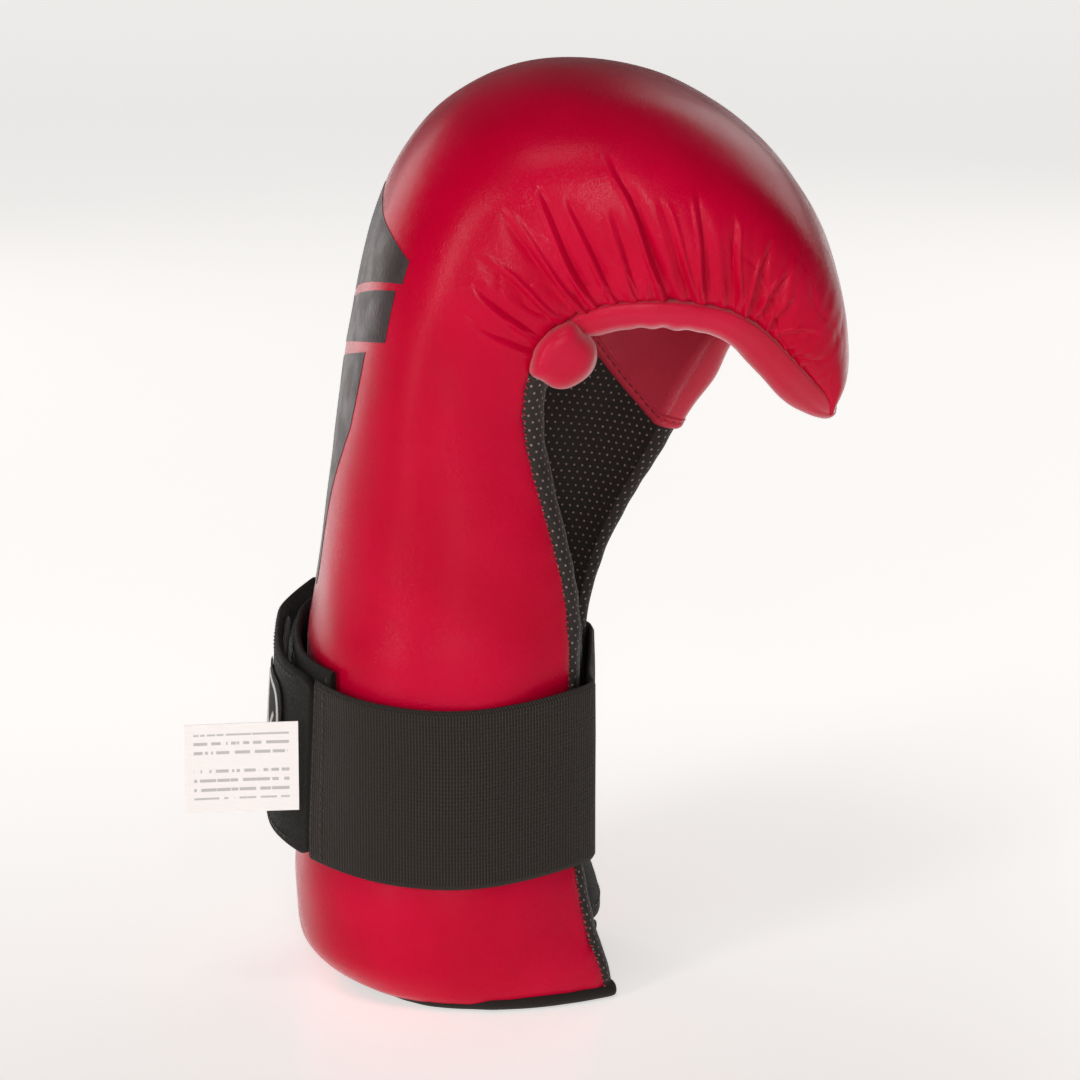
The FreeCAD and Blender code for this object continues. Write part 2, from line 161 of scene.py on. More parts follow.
def wall(s, t):
    """Outer and inner faces of the wall: t runs -1 at the near seam, 0 at the back, 1 at the far seam."""
    s, t = np.broadcast_arrays(np.asarray(s, float), np.asarray(t, float))
    here = station(s)
    near = t < 0
    sign = np.where(near, -1.0, 1.0)
    seam_x, seam_z, half, seam = (np.where(near, here["near_" + part], here["far_" + part])
                                  for part in ("x", "z", "half", "seam"))
    faces = []
    for name, inset in (("back", 0.0), ("inner", here["wall"])):
        share, width = section(np.abs(t), half - inset, seam - inset)
        x, z = here[name + "_x"], here[name + "_z"]
        faces.append(np.stack((x + share * (seam_x - x), sign * width, z + share * (seam_z - z)), -1))
    return faces


def packed(count, share):
    """Values from -1 to 1, closer together towards both ends."""
    even = np.linspace(-1.0, 1.0, count)
    return (1.0 - share) * even + share * np.sin(even * math.pi / 2.0)


def circle(count):
    """Evenly spaced angles, once round."""
    return np.linspace(0.0, 2.0 * math.pi, count, endpoint=False)


def between(grid, row, column):
    """Values of a grid of points at places between its rows and columns."""
    i = np.minimum(row.astype(int), grid.shape[0] - 2)
    j = np.minimum(column.astype(int), grid.shape[1] - 2)
    u = (row - i)[..., None]
    v = (column - j)[..., None]
    return ((1 - u) * ((1 - v) * grid[i, j] + v * grid[i, j + 1])
            + u * ((1 - v) * grid[i + 1, j] + v * grid[i + 1, j + 1]))


def unit(vectors):
    return vectors / np.maximum(np.linalg.norm(vectors, axis=-1, keepdims=True), 1e-9)


def grid_normals(points, toward):
    """Unit normals of a grid of points, on the side that toward points to."""
    normals = unit(np.cross(np.gradient(points, axis=0), np.gradient(points, axis=1)))
    side = np.sign(np.sum(normals * toward, -1, keepdims=True))
    return normals * np.where(side == 0, 1.0, side)


def run_length(points, axis):
    """Length along a grid's lines from their first point, in millimetres."""
    steps = np.linalg.norm(np.diff(points, axis=axis), axis=-1)
    start = np.zeros_like(np.take(steps, [0], axis=axis))
    return np.concatenate((start, np.cumsum(steps, axis=axis)), axis=axis)


def waves(points, wavelength, seed, count=16):
    """Smooth random heights in space, about -1 to 1: a sum of seeded plane waves."""
    rng = np.random.default_rng(seed)
    directions = unit(rng.normal(size=(count, 3)))
    lengths = wavelength * rng.uniform(0.7, 1.5, count)
    phases = rng.uniform(0.0, 2.0 * math.pi, count)
    total = np.zeros(points.shape[:-1])
    for direction, length, phase in zip(directions, lengths, phases):
        total += np.sin(points @ direction * (2.0 * math.pi / length) + phase)
    return total / math.sqrt(count)


def smooth_step(x, low, high):
    x = np.clip((x - low) / (high - low), 0.0, 1.0)
    return x * x * (3.0 - 2.0 * x)


def bump_at(x, middle, width):
    return np.exp(-((x - middle) / width) ** 2)


# ---- Mesh helpers ----
CENTIMETRE = 10.0       # flat maps are in centimetres


def strap_frame(path, places, distance=0.0):
    """Points, directions and outward directions along a band's path, moved outward by a distance."""
    path = np.array(path, float)
    moments = natural_spline(path)
    places = np.asarray(places, float)
    step = spline(path, moments, places + 0.02) - spline(path, moments, places - 0.02)
    step[..., 2] = 0.0
    direction = unit(step)
    outward = np.stack((-direction[..., 1], direction[..., 0], np.zeros(len(places))), -1)
    return spline(path, moments, places) + outward * distance, direction, outward


def frame_shift():
    """Shift from the design frame to the row frame, read from where the frame puts the tab's hinge."""
    corner = strap_frame(STRAP_PATH, [TAB_HINGE_AT], TAB_THICKNESS)[0][0]
    hinge = next(j for j in frame["joints"] if j["name"] == "tab_peel")
    return np.array((hinge["pos_m"][0] - corner[0] / 1000.0, hinge["pos_m"][1] - corner[1] / 1000.0, 0.0))


SHIFT = frame_shift()


def to_row(points):
    """Design millimetres to row-frame metres."""
    return np.asarray(points, float) / 1000.0 + SHIFT


def make_mesh(name, points, faces, material, body=None, uv=None, sharp=50.0):
    """A mesh object from design-frame points and lists of faces, smooth shaded, with an optional flat map."""
    mesh = bpy.data.meshes.new(name)
    mesh.from_pydata(to_row(points).tolist(), [], faces)
    mesh.materials.append(material)
    mesh.shade_smooth()
    mesh.set_sharp_from_angle(angle=math.radians(sharp))
    if uv is not None:
        layer = mesh.uv_layers.new(name="flat_map")
        corners = np.zeros(len(mesh.loops), int)
        mesh.loops.foreach_get("vertex_index", corners)
        layer.data.foreach_set("uv", np.asarray(uv, float)[corners].ravel())
    mesh.validate()
    mesh.update()
    piece = bpy.data.objects.new(name, mesh)
    bpy.context.scene.collection.objects.link(piece)
    if body:
        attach(piece, body)
    return piece


def grid_quads(rows, columns, start=0, flip=False, close_columns=False):
    """Quads of a grid whose points are numbered row by row."""
    i = np.arange(rows - 1)[:, None]
    j = np.arange(columns if close_columns else columns - 1)[None, :]
    after = (j + 1) % columns
    corners = (i * columns + j, (i + 1) * columns + j, (i + 1) * columns + after, i * columns + after)
    quads = np.stack(corners, -1).reshape(-1, 4) + start
    return (quads[:, ::-1] if flip else quads).tolist()


def shell(name, outer, inner, material, body):
    """A closed sheet of material between two grids of the same size."""
    rows, columns = outer.shape[:2]
    count = rows * columns
    faces = grid_quads(rows, columns) + grid_quads(rows, columns, count, flip=True)
    numbers = np.arange(count).reshape(rows, columns)
    rim = np.concatenate((numbers[0], numbers[1:, -1], numbers[-1, -2::-1], numbers[-2:0:-1, 0]))
    after = np.roll(rim, -1)
    faces += np.stack((rim, after, after + count, rim + count), -1).tolist()
    across = run_length(outer, 1)
    across -= across[:, [columns // 2]]
    uv = np.stack((across, run_length(outer, 0)), -1).reshape(-1, 2) / CENTIMETRE
    points = np.concatenate((outer.reshape(-1, 3), inner.reshape(-1, 3)))
    return make_mesh(name, points, faces, material, body, np.concatenate((uv, uv)))


def tube(name, rings, material, body, sharp=60.0):
    """A closed solid through rings of points (count, around, 3), with flat ends."""
    count, around = rings.shape[:2]
    faces = grid_quads(count, around, close_columns=True)
    faces.append(list(range(around)))
    faces.append(list(range((count - 1) * around, count * around))[::-1])
    uv = np.stack((run_length(rings, 1), run_length(rings, 0)), -1).reshape(-1, 2) / CENTIMETRE
    return make_mesh(name, rings.reshape(-1, 3), faces, material, body, uv, sharp)


def resample(points, pitch):
    """Evenly spaced points along a line, about pitch apart."""
    lengths = run_length(points, 0)
    steps = max(2, int(round(lengths[-1] / pitch)))
    places = np.linspace(0.0, lengths[-1], steps + 1)
    return np.stack([np.interp(places, lengths, points[:, k]) for k in range(points.shape[1])], -1)


# Rings of one stitch: share of its length, share of its thickness, lift in radii
STITCH_RINGS = ((0.0, 0.3, -0.7), (0.12, 0.85, 0.1), (0.32, 1.0, 0.55), (0.68, 1.0, 0.55), (0.88, 0.85, 0.1),
                (1.0, 0.3, -0.7))
STITCH_AROUND = 6
STITCH_FLATNESS = 0.8


def stitches(name, line, normals, material, body, pitch=3.2, share=0.72, radius=0.28, slant=0.0):
    """A row of sewn thread stitches along a line; slant turns each stitch across the line, in millimetres."""
    path = resample(np.concatenate((line, normals), 1), pitch)
    start, normal = path[:-1, :3], unit(path[:-1, 3:])
    step = path[1:, :3] - start
    tangent = unit(step)
    sideways = unit(np.cross(normal, tangent))
    first = start - sideways * slant / 2.0
    last = start + step * share + sideways * slant / 2.0
    run = last - first
    forward = unit(run)
    side = unit(np.cross(normal, forward))
    points = []
    for place, girth, lift in STITCH_RINGS:
        middle = first + run * place + normal * (lift * radius)
        for angle in circle(STITCH_AROUND):
            away = side * math.cos(angle) + normal * math.sin(angle) * STITCH_FLATNESS
            points.append(middle + away * (girth * radius))
    per_stitch = len(points)
    points = np.stack(points, 1).reshape(-1, 3)
    faces = []
    for k in range(len(start)):
        base = k * per_stitch
        faces += grid_quads(len(STITCH_RINGS), STITCH_AROUND, base, close_columns=True)
        faces.append([base + a for a in range(STITCH_AROUND)])
        faces.append([base + per_stitch - 1 - a for a in range(STITCH_AROUND)])
    return make_mesh(name, points, faces, material, body, None, 80.0)


# ---- Materials ----
def colour(red, green, blue):
    """Linear colour from display values of 0 to 255."""
    shares = (red / 255.0, green / 255.0, blue / 255.0)
    return tuple(c / 12.92 if c <= 0.04 else ((c + 0.055) / 1.055) ** 2.4 for c in shares) + (1.0,)


class Material:
    """A Principled material and short calls that add nodes to it."""

    def __init__(self, name, roughness=0.5, sheen=0.0, specular=0.5):
        self.material = bpy.data.materials.new(name)
        self.material.use_nodes = True
        self.tree = self.material.node_tree
        self.shader = next(n for n in self.tree.nodes if n.type == "BSDF_PRINCIPLED")
        self.set(self.shader, {"Roughness": roughness, "Sheen Weight": sheen, "Sheen Roughness": 0.4,
                               "Specular IOR Level": specular})
        self.coordinates = self.tree.nodes.new("ShaderNodeTexCoord")

    def set(self, node, inputs):
        for key, value in inputs.items():
            if isinstance(value, bpy.types.NodeSocket):
                self.tree.links.new(value, node.inputs[key])
            else:
                node.inputs[key].default_value = value

    def node(self, kind, inputs=None, **settings):
        node = self.tree.nodes.new(kind)
        for key, value in settings.items():
            setattr(node, key, value)
        self.set(node, inputs or {})
        return node

    def maths(self, operation, first, second=0.0, third=0.0):
        return self.node("ShaderNodeMath", {0: first, 1: second, 2: third}, operation=operation).outputs[0]

    def noise(self, scale, detail=2.0, where=None):
        inputs = {"Vector": where or self.coordinates.outputs["Object"], "Scale": scale, "Detail": detail}
        return self.node("ShaderNodeTexNoise", inputs).outputs["Fac"]

    def cells(self, scale, feature="F1"):
        inputs = {"Vector": self.coordinates.outputs["Object"], "Scale": scale}
        return self.node("ShaderNodeTexVoronoi", inputs, feature=feature).outputs["Distance"]

    def share(self, value, low, high, start=0.0, end=1.0):
        """value mapped from low..high to start..end, smoothly."""
        inputs = {"Value": value, "From Min": low, "From Max": high, "To Min": start, "To Max": end}
        return self.node("ShaderNodeMapRange", inputs, interpolation_type="SMOOTHSTEP").outputs["Result"]

    def mix(self, share, first, second):
        return self.node("ShaderNodeMix", {0: share, 6: first, 7: second}, data_type="RGBA").outputs[2]

    def bump(self, height, distance, below=None):
        """A bump of that many metres, over another bump if one is given."""
        inputs = {"Height": height, "Distance": distance, "Strength": 1.0}
        if below is not None:
            inputs["Normal"] = below
        return self.node("ShaderNodeBump", inputs).outputs[0]

    def wave(self, value, period):
        """A sine of a value, -1 to 1."""
        return self.maths("SINE", self.maths("MULTIPLY", value, 2.0 * math.pi / period))

    def close(self, value, middle, low, high, start=1.0, end=0.0):
        """start where value is within low of middle, end where it is further off than high."""
        off = self.maths("ABSOLUTE", self.maths("SUBTRACT", value, middle))
        return self.share(off, low, high, start, end)

    def finish(self, base, relief, uneven, smooth, rough):
        """Sets the colour, the relief and a roughness that drifts from smooth to rough with a noise."""
        self.set(self.shader, {"Base Color": base, "Normal": relief,
                               "Roughness": self.share(uneven, 0.3, 0.7, smooth, rough)})
        return self.material


def leather(name, main, lit, deep, haze=0.08):
    """Smooth coated leather with a fine pebbled grain and slightly uneven colour, darker in the grain's
    creases as painted shade; haze lights its edges.
    """
    m = Material(name, sheen=haze, specular=0.10)
    m.set(m.shader, {"Sheen Roughness": 0.14 + haze})
    creases = m.cells(1250.0, "DISTANCE_TO_EDGE")
    base = m.mix(m.share(m.noise(22.0, 4.0), 0.35, 0.65), main, lit)
    # deep is mixed in along the grain's creases, where the bump is lowest: painted shade.
    base = m.mix(m.share(creases, 0.0, 0.12, 0.10, 0.0), base, deep)
    relief = m.bump(m.share(creases, 0.0, 0.14), 0.000016)
    relief = m.bump(m.cells(1700.0), 0.000028, relief)
    relief = m.bump(m.noise(2600.0, 2.0), 0.00002, relief)
    return m.finish(base, relief, m.noise(140.0, 3.0), 0.17, 0.25)


def flat_map(m):
    """The flat map's two values in centimetres: across and along."""
    node = m.node("ShaderNodeSeparateXYZ", {0: m.coordinates.outputs["UV"]})
    return node.outputs[0], node.outputs[1]


def hexagon_dots(m, pitch, low, high):
    """1 on round dots laid out as a honeycomb with that pitch in centimetres, 0 between them."""
    nearest = []
    for offset in (0.0, 0.5):
        squares = []
        for value, size in zip(flat_map(m), (pitch, pitch * math.sqrt(3.0))):
            place = m.maths("FRACT", m.maths("MULTIPLY_ADD", value, 1.0 / size, offset + 100.0))
            place = m.maths("MULTIPLY", m.maths("SUBTRACT", place, 0.5), size)
            squares.append(m.maths("POWER", place, 2.0))
        nearest.append(m.maths("SQRT", m.maths("ADD", *squares)))
    return m.share(m.maths("MINIMUM", *nearest), low, high, 1.0, 0.0)


def perforated_mesh(name):
    """Black lining fabric with a honeycomb of small holes that show a pink-grey layer."""
    m = Material(name, sheen=0.04, specular=0.22)
    dots = hexagon_dots(m, 0.24, 0.022, 0.042)
    yarn = m.noise(1800.0, 2.0)
    cloth = m.mix(yarn, colour(27, 24, 22), colour(56, 50, 46))
    hole = m.mix(m.noise(260.0), colour(92, 74, 74), colour(176, 154, 152))
    return m.finish(m.mix(dots, cloth, hole), m.bump(dots, 0.0001, m.bump(yarn, 0.00008)), yarn, 0.6, 0.8)


def ribbed_elastic(name):
    """Heavy elastic with fine ribs across its length and a knitted thread between them."""
    m = Material(name, sheen=0.05, specular=0.2)
    across, along = flat_map(m)
    rib = m.wave(along, 0.085)
    knit = m.maths("MULTIPLY_ADD", across, 2.0 * math.pi / 0.11, m.maths("MULTIPLY", rib, 1.2))
    surface = m.maths("MULTIPLY_ADD", m.maths("SINE", knit), 0.35, rib)
    fuzz = m.noise(900.0, 3.0)
    shade = m.maths("ADD", m.share(surface, -1.2, 1.2, 0.0, 0.75), m.maths("MULTIPLY", fuzz, 0.3))
    base = m.mix(shade, colour(22, 19, 17), colour(62, 55, 51))
    base = m.mix(m.share(m.noise(30.0, 3.0), 0.35, 0.7, 0.0, 0.25), base, colour(40, 36, 33))
    return m.finish(base, m.bump(surface, 0.00014, m.bump(fuzz, 0.00008)), fuzz, 0.66, 0.82)


def woven_black(name, light):
    """Smooth black strap fabric with a fine plain weave; light scales its brightness."""
    m = Material(name, sheen=0.03, specular=0.15)
    across, along = flat_map(m)
    weave = m.maths("MULTIPLY", m.wave(across, 0.05), m.wave(along, 0.05))
    fuzz = m.noise(1200.0, 3.0)
    shade = m.maths("ADD", m.share(weave, -1.0, 1.0, 0.0, 0.5), m.maths("MULTIPLY", fuzz, 0.5))
    dark, pale = (colour(*(part * light for part in tone)) for tone in ((15, 14, 13), (44, 40, 37)))
    relief = m.bump(weave, 0.00006, m.bump(fuzz, 0.00006))
    return m.finish(m.mix(shade, dark, pale), relief, fuzz, 0.55, 0.75)


def touch_pile(name, scale, depth):
    """The brushed or hooked face of a touch-and-close pad, darker between its tufts as painted shade."""
    m = Material(name, sheen=0.3, specular=0.2)
    tufts = m.cells(scale)
    fuzz = m.noise(scale * 1.7, 3.0)
    # The gaps between the tufts, where the relief is lowest, are painted near black: painted shade.
    base = m.mix(m.share(tufts, 0.0, 0.6), colour(62, 58, 56), colour(14, 13, 12))
    return m.finish(base, m.bump(tufts, -depth, m.bump(fuzz, depth)), fuzz, 0.8, 0.95)


def foam(name, main, deep):
    """Closed-cell foam: fine bubbles, darker in the grooves between them as painted shade."""
    m = Material(name, sheen=0.05, specular=0.25)
    bubbles = m.cells(900.0)
    relief = m.bump(bubbles, -0.00012, m.bump(m.noise(300.0, 3.0), 0.0001))
    # deep is mixed in where the relief is lowest, between the bubbles: painted shade.
    return m.finish(m.mix(m.share(bubbles, 0.1, 0.6), main, deep), relief, m.noise(200.0), 0.8, 0.95)


def printed_film(name):
    """Dark satin print that lets the leather grain through."""
    m = Material(name, specular=0.13)
    wear = m.share(m.noise(60.0, 4.0), 0.4, 0.75)
    relief = m.bump(m.cells(950.0), 0.00006, m.bump(m.noise(2600.0), 0.00003))
    base = m.mix(wear, colour(58, 46, 48), colour(78, 68, 67))
    return m.finish(base, relief, m.noise(140.0, 3.0), 0.34, 0.46)


LABEL_LINE = 0.26       # centimetres from one printed line to the next


def satin_label(name):
    """White woven satin, slightly darker in the weave's hollows as painted shade, with plain grey bars in
    place of print.
    """
    m = Material(name, sheen=0.1, specular=0.35)
    across, along = flat_map(m)
    weave = m.wave(along, 0.035)
    lines = m.maths("MULTIPLY", along, 1.0 / LABEL_LINE)
    row = m.maths("MULTIPLY", m.maths("FLOOR", lines), 7.31)
    seed = m.node("ShaderNodeCombineXYZ", {0: m.maths("MULTIPLY", across, 5.5), 1: row})
    ink = m.close(m.maths("FRACT", lines), 0.5, 0.13, 0.2)
    for part in (m.share(m.noise(1.0, 1.0, seed.outputs[0]), 0.40, 0.44), m.close(across, 0.0, 1.28, 1.32),
                 m.close(along, 0.0, 0.9, 0.94), m.close(along, 0.14, 0.12, 0.14, 0.0, 1.0)):
        ink = m.maths("MULTIPLY", ink, part)
    # The weave's hollows are painted slightly darker than its crests: painted shade.
    cloth = m.mix(m.share(weave, -1.0, 1.0), colour(240, 234, 232), colour(250, 246, 244))
    base = m.mix(m.maths("MULTIPLY", ink, 0.55), cloth, colour(120, 116, 116))
    return m.finish(base, m.bump(weave, 0.00002, m.bump(m.noise(700.0), 0.00004)), m.noise(300.0), 0.5, 0.62)


def thread(name, main, deep):
    """Sewing thread with its twist."""
    m = Material(name, sheen=0.2, specular=0.4)
    twist = m.noise(3200.0, 2.0)
    return m.finish(m.mix(twist, deep, main), m.bump(twist, 0.00006), twist, 0.45, 0.65)


# The third colour of each leather is painted shade in the grain's creases.
RED = leather("red_leather", colour(184, 0, 42), colour(196, 4, 50), colour(112, 0, 22))
RED_ROLL = leather("red_leather_roll", colour(188, 4, 46), colour(200, 14, 58), colour(122, 2, 28), 0.35)
# A lighter, pinker copy of the red leather for the facing under the hood and the thumb pocket: painted light,
# standing in for light that reaches inside the glove.
RED_INSIDE_PAINTED_LIGHT = leather("red_leather_inside_painted_light", colour(198, 54, 72), colour(208, 62, 80), colour(136, 22, 40))
LINING_MESH = perforated_mesh("perforated_mesh")
ELASTIC = ribbed_elastic("ribbed_elastic")
FABRIC = woven_black("woven_black", 0.8)
HEM_FABRIC = woven_black("hem_fabric", 1.15)
HOOKS = touch_pile("hook_face", 1300.0, 0.00025)
LOOPS = touch_pile("loop_face", 700.0, 0.0004)
# The second colour of each foam is painted shade between its bubbles.
FOAM = foam("dense_foam", colour(60, 60, 62), colour(34, 34, 36))
SOFT_FOAM = foam("soft_foam", colour(92, 90, 88), colour(52, 50, 50))
FILM = printed_film("dark_print")
LABEL = satin_label("label_satin")
RED_THREAD = thread("red_thread", colour(190, 24, 56), colour(110, 6, 26))
DARK_RED_THREAD = thread("dark_red_thread", colour(170, 34, 56), colour(96, 10, 26))
BLACK_THREAD = thread("black_thread", colour(58, 52, 49), colour(18, 16, 15))
WHITE_THREAD = thread("white_thread", colour(232, 228, 226), colour(180, 176, 172))


# ---- Leather cover ----
# Gathers of the near wall: station at the seam, station at the other end, across value there, depth in mm
NEAR_PLEATS = (
    (7.30, 7.25, 0.72, 1.5), (7.55, 7.70, 0.65, 2.0), (7.90, 8.00, 0.61, 2.2), (8.35, 8.50, 0.56, 2.8),
    (8.75, 8.95, 0.55, 2.6), (9.10, 9.20, 0.61, 2.2), (9.45, 9.45, 0.85, 1.6), (9.50, 9.60, 0.66, 2.0),
    (9.95, 9.80, 0.50, 3.2), (10.35, 10.20, 0.62, 2.4), (10.65, 10.70, 0.56, 2.4), (11.20, 11.15, 0.58, 2.8),
    (11.55, 11.75, 0.57, 2.2), (11.75, 12.15, 0.61, 2.4), (12.05, 12.45, 0.69, 2.2),
    (12.30, 13.05, 0.67, 2.0), (12.90, 13.15, 0.81, 1.5))
TUCK = 0.5              # how far the cover pulls in at a sewn edge
PUFF = 2.2              # how far it stands out beside the gathers
STEEP = 0.6             # width of a gather's steep side
GENTLE = 2.6            # and how much wider its other side is at the seam
COVER_SKIN = 0.9
# Rows of the cover's grid: first and last station, number of rows
COVER_ROWS = ((0.0, 6.8, 110), (6.8, 13.4, 600), (13.4, 15.0, 70))
COVER_COLUMNS = 181
TIP_PULL = 3.2          # how far the back of the fingertip end draws in
STRAP_SWELLS = ((99.0, 0.8), (33.0, 0.6))       # height above the floor and swell, above and below the strap


def far_pleats():
    """Gathers of the thumb wall: like the near wall's, but no two gloves' sides are sewn alike."""
    rng = np.random.default_rng(11)
    return [(a + rng.uniform(-0.12, 0.12), b + rng.uniform(-0.2, 0.2), reach + rng.uniform(-0.03, 0.06),
             depth * rng.uniform(0.7, 1.0)) for a, b, reach, depth in NEAR_PLEATS[2:]]


def short_pleats(seed):
    """Small gathers between the long ones, close to the seam."""
    rng = np.random.default_rng(seed)
    return [(place + rng.uniform(-0.09, 0.09), place + rng.uniform(-0.12, 0.12), rng.uniform(0.82, 0.92),
             rng.uniform(0.7, 1.5)) for place in np.linspace(7.5, 13.3, 24)]


def gathers(s, t, points, spacing, pleats, seed):
    """Height of one wall's gathers: each is a sharp fold that tapers out, with a lip on its steep side."""
    rng = np.random.default_rng(seed)
    depth = np.zeros(s.shape)
    lip = np.zeros(s.shape)
    for k, (at_seam, at_end, reach, deep) in enumerate(pleats):
        run = (1.0 - np.abs(t)) / (1.0 - reach)
        lean = at_seam + (at_end - at_seam) * run
        side = 1.0 if rng.uniform() < 0.35 else -1.0
        x = side * ((s - lean) * spacing + 0.9 * waves(points, 26.0, seed + k, 6) * np.minimum(run, 1.0))
        taper = np.clip(1.0 - run, 0.0, 1.0)
        across = np.where(x > 0, x / STEEP, -x / (0.9 + GENTLE * taper))
        crease = np.exp(0.25 - np.sqrt(across ** 2 + 0.0625))
        fade = (0.4 + 0.6 * smooth_step(run, 0.0, 0.35)) * taper ** 0.8
        depth = np.maximum(depth, deep * fade * crease)
        lip = np.maximum(lip, 0.45 * deep * fade * bump_at(x, 1.7, 0.8))
    return lip - depth


def tip_pull(s):
    """How far the back of the fingertip end draws in towards the seam."""
    return TIP_PULL * smooth_step(s, 14.0, 15.1)


def sculpted_cover():
    """Outer points and normals of the cover with its tucks, gathers, pillows and slack, and its grid."""
    rows = np.unique(np.concatenate([np.linspace(*part) for part in COVER_ROWS]))
    columns = packed(COVER_COLUMNS, 0.55)
    s, t = np.meshgrid(rows, columns, indexing="ij")
    outer, inner = wall(s, t)
    normals = grid_normals(outer, outer - inner)
    spacing = np.linalg.norm(np.gradient(outer, axis=0), axis=-1) / np.gradient(rows)[:, None]
    across = run_length(outer, 1)
    to_seam = np.minimum(across, across[:, -1:] - across)
    gathered = smooth_step(s, 6.7, 7.6) * (1.0 - smooth_step(s, 13.0, 14.2))
    height = -TUCK * np.exp(-(to_seam / 1.1) ** 1.5)
    height += PUFF * gathered * (1.0 - np.exp(-to_seam / 4.0)) * (1.0 - smooth_step(to_seam, 6.0, 58.0))
    height += (t < 0) * gathers(s, t, outer, spacing, list(NEAR_PLEATS) + short_pleats(12), 100)
    height += (t > 0) * gathers(s, t, outer, spacing, far_pleats() + short_pleats(13), 200)
    creased = gathered * (1.0 - smooth_step(to_seam, 8.0, 34.0))
    height -= 0.45 * creased * np.exp(-np.abs(waves(outer, 17.0, 31)) / 0.12)
    drawn = np.stack((s * np.median(spacing), to_seam * 0.16, np.sign(t) * 90.0), -1)
    height += 0.16 * creased * waves(drawn, 4.2, 32)
    height += 0.40 * waves(outer, 70.0, 33) + 0.10 * waves(outer, 22.0, 34)
    # Small puckers beside the sewn edge of the cuff
    cuff = 1.0 - smooth_step(s, 6.3, 7.0)
    height += 0.22 * cuff * np.exp(-to_seam / 5.0) * waves(outer, 7.0, 35)
    # The strap presses the cuff in a little and the cover swells above and below it
    for at, swell in STRAP_SWELLS:
        height += swell * bump_at(outer[..., 2], at, 8.0)
    # The near side of the lower edge stands out over the hem
    to_hem = run_length(outer, 0)
    height += 2.6 * np.exp(-to_hem / 9.0) * bump_at(t, -0.62, 0.30) - 0.7 * np.exp(-(to_hem / 2.0) ** 1.5)
    points = outer + normals * height[..., None]
    # The tip draws in to a point
    points[..., 0] -= tip_pull(s) * (1.0 - 0.45 * np.exp(-to_seam / 4.0))
    return {"rows": rows, "columns": columns, "points": points, "normals": grid_normals(points, normals)}


def on_cover(cover, s, t, lift):
    """Points at stations s and across values t on the sculpted cover, lifted off it by some millimetres."""
    row = np.interp(s, cover["rows"], np.arange(len(cover["rows"])))
    column = np.interp(t, cover["columns"], np.arange(len(cover["columns"])))
    return between(cover["points"], row, column) + unit(between(cover["normals"], row, column)) * lift


def make_cover(cover):
    skin = cover["points"] - cover["normals"] * COVER_SKIN
    piece = shell("cover", cover["points"], skin, RED, "glove")
    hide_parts("outer_cover")


PRINT_LIFTS = (0.14, 0.02)      # top and underside of the film above the cover


def make_print(cover):
    """Plain chevrons and a tapering stripe down the back of the hand."""
    across = np.linspace(-1.0, 1.0, 41)
    along = np.linspace(0.0, 1.0, 31)[:, None]
    stripe_half = np.interp(1.0 - along, (0.0, 0.3, 1.0), (0.30, 0.27, 0.05))
    shapes = {
        "print_chevron_upper": (6.92 + 0.40 * np.abs(across), 7.76 - 0.24 * np.abs(across), 0.42),
        "print_chevron_lower": (6.50 + 0.30 * np.abs(across), 6.83 + 0.41 * np.abs(across), 0.40),
        "print_stripe": (4.5 + 0.0 * across, 6.38 + 0.26 * np.abs(across), stripe_half),
    }
    for name, (low, high, half) in shapes.items():
        s = low + (high - low) * along
        t = half * across + 0.0 * along
        top, base = (on_cover(cover, s, t, lift) for lift in PRINT_LIFTS)
        piece = shell(name, top, base, FILM, "glove")
        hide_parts("back_print")


# ---- Inside layers ----
def wall_depth(s, t, depth, from_inner=False):
    """Points at a depth below the wall's outer face, or below its inner face."""
    outer, inner = wall(s, t)
    reach = unit(inner - outer) * np.asarray(depth, float)[..., None]
    return inner - reach if from_inner else outer + reach


def make_layer(name, s_range, t_reach, faces, material, steps, slack=0.0, seed=0):
    """A closed layer of the wall between two of its depths, with a little slack in the cloth."""
    s = np.linspace(s_range[0], s_range[1], steps[0])[:, None]
    t = np.linspace(-t_reach, t_reach, steps[1])[None, :]
    first, second = (wall_depth(s, t, depth, from_inner) for depth, from_inner in faces)
    move = unit(first - second) * (slack * waves(first, 24.0, seed))[..., None]
    return shell(name, first + move, second + move, material, "glove")


# Faces of a layer: depth in millimetres, and whether it is measured from the wall's inner face
IMPACT_FACES = ((4.7, False), (4.5, True))
COMFORT_FACES = ((4.2, True), (1.3, True))
LINING_FACES = ((1.0, True), (0.0, True))
FOAM_RUN = (0.15, 14.0)
FOAM_REACH = 0.975
LINING_REACH = 0.995


def make_inside():
    """The two foams, the mesh lining of the cuff and the leather facing under the hood."""
    piece = make_layer("impact_foam_core", FOAM_RUN, FOAM_REACH, IMPACT_FACES, FOAM, (70, 60))
    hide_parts("impact_foam")
    piece = make_layer("comfort_foam_pad", FOAM_RUN, FOAM_REACH, COMFORT_FACES, SOFT_FOAM, (70, 60))
    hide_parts("comfort_foam")
    piece = make_layer("lining", (0.0, 7.6), LINING_REACH, LINING_FACES, LINING_MESH, (160, 120),
                       slack=0.35, seed=41)
    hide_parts("mesh_lining")
    # The facing uses the lighter red leather copy, with light painted into its colour.
    piece = make_layer("finger_facing_panel", (7.63, 14.75), LINING_REACH, LINING_FACES, RED_INSIDE_PAINTED_LIGHT,
                       (160, 100), slack=0.3, seed=42)
    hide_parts("finger_facing")


# ---- Rolled edges ----
TIP_IN = 2.6            # the roll round the fingertips sits this far in from the middle of the wall's end
TIP_UP = 0.6            # and this far up
TIP_BULGE = 1.6         # and stands out this far
ROLL_AROUND = 40        # points round the roll
ROLL_BULGE = 6.4        # least bulge along the two seams


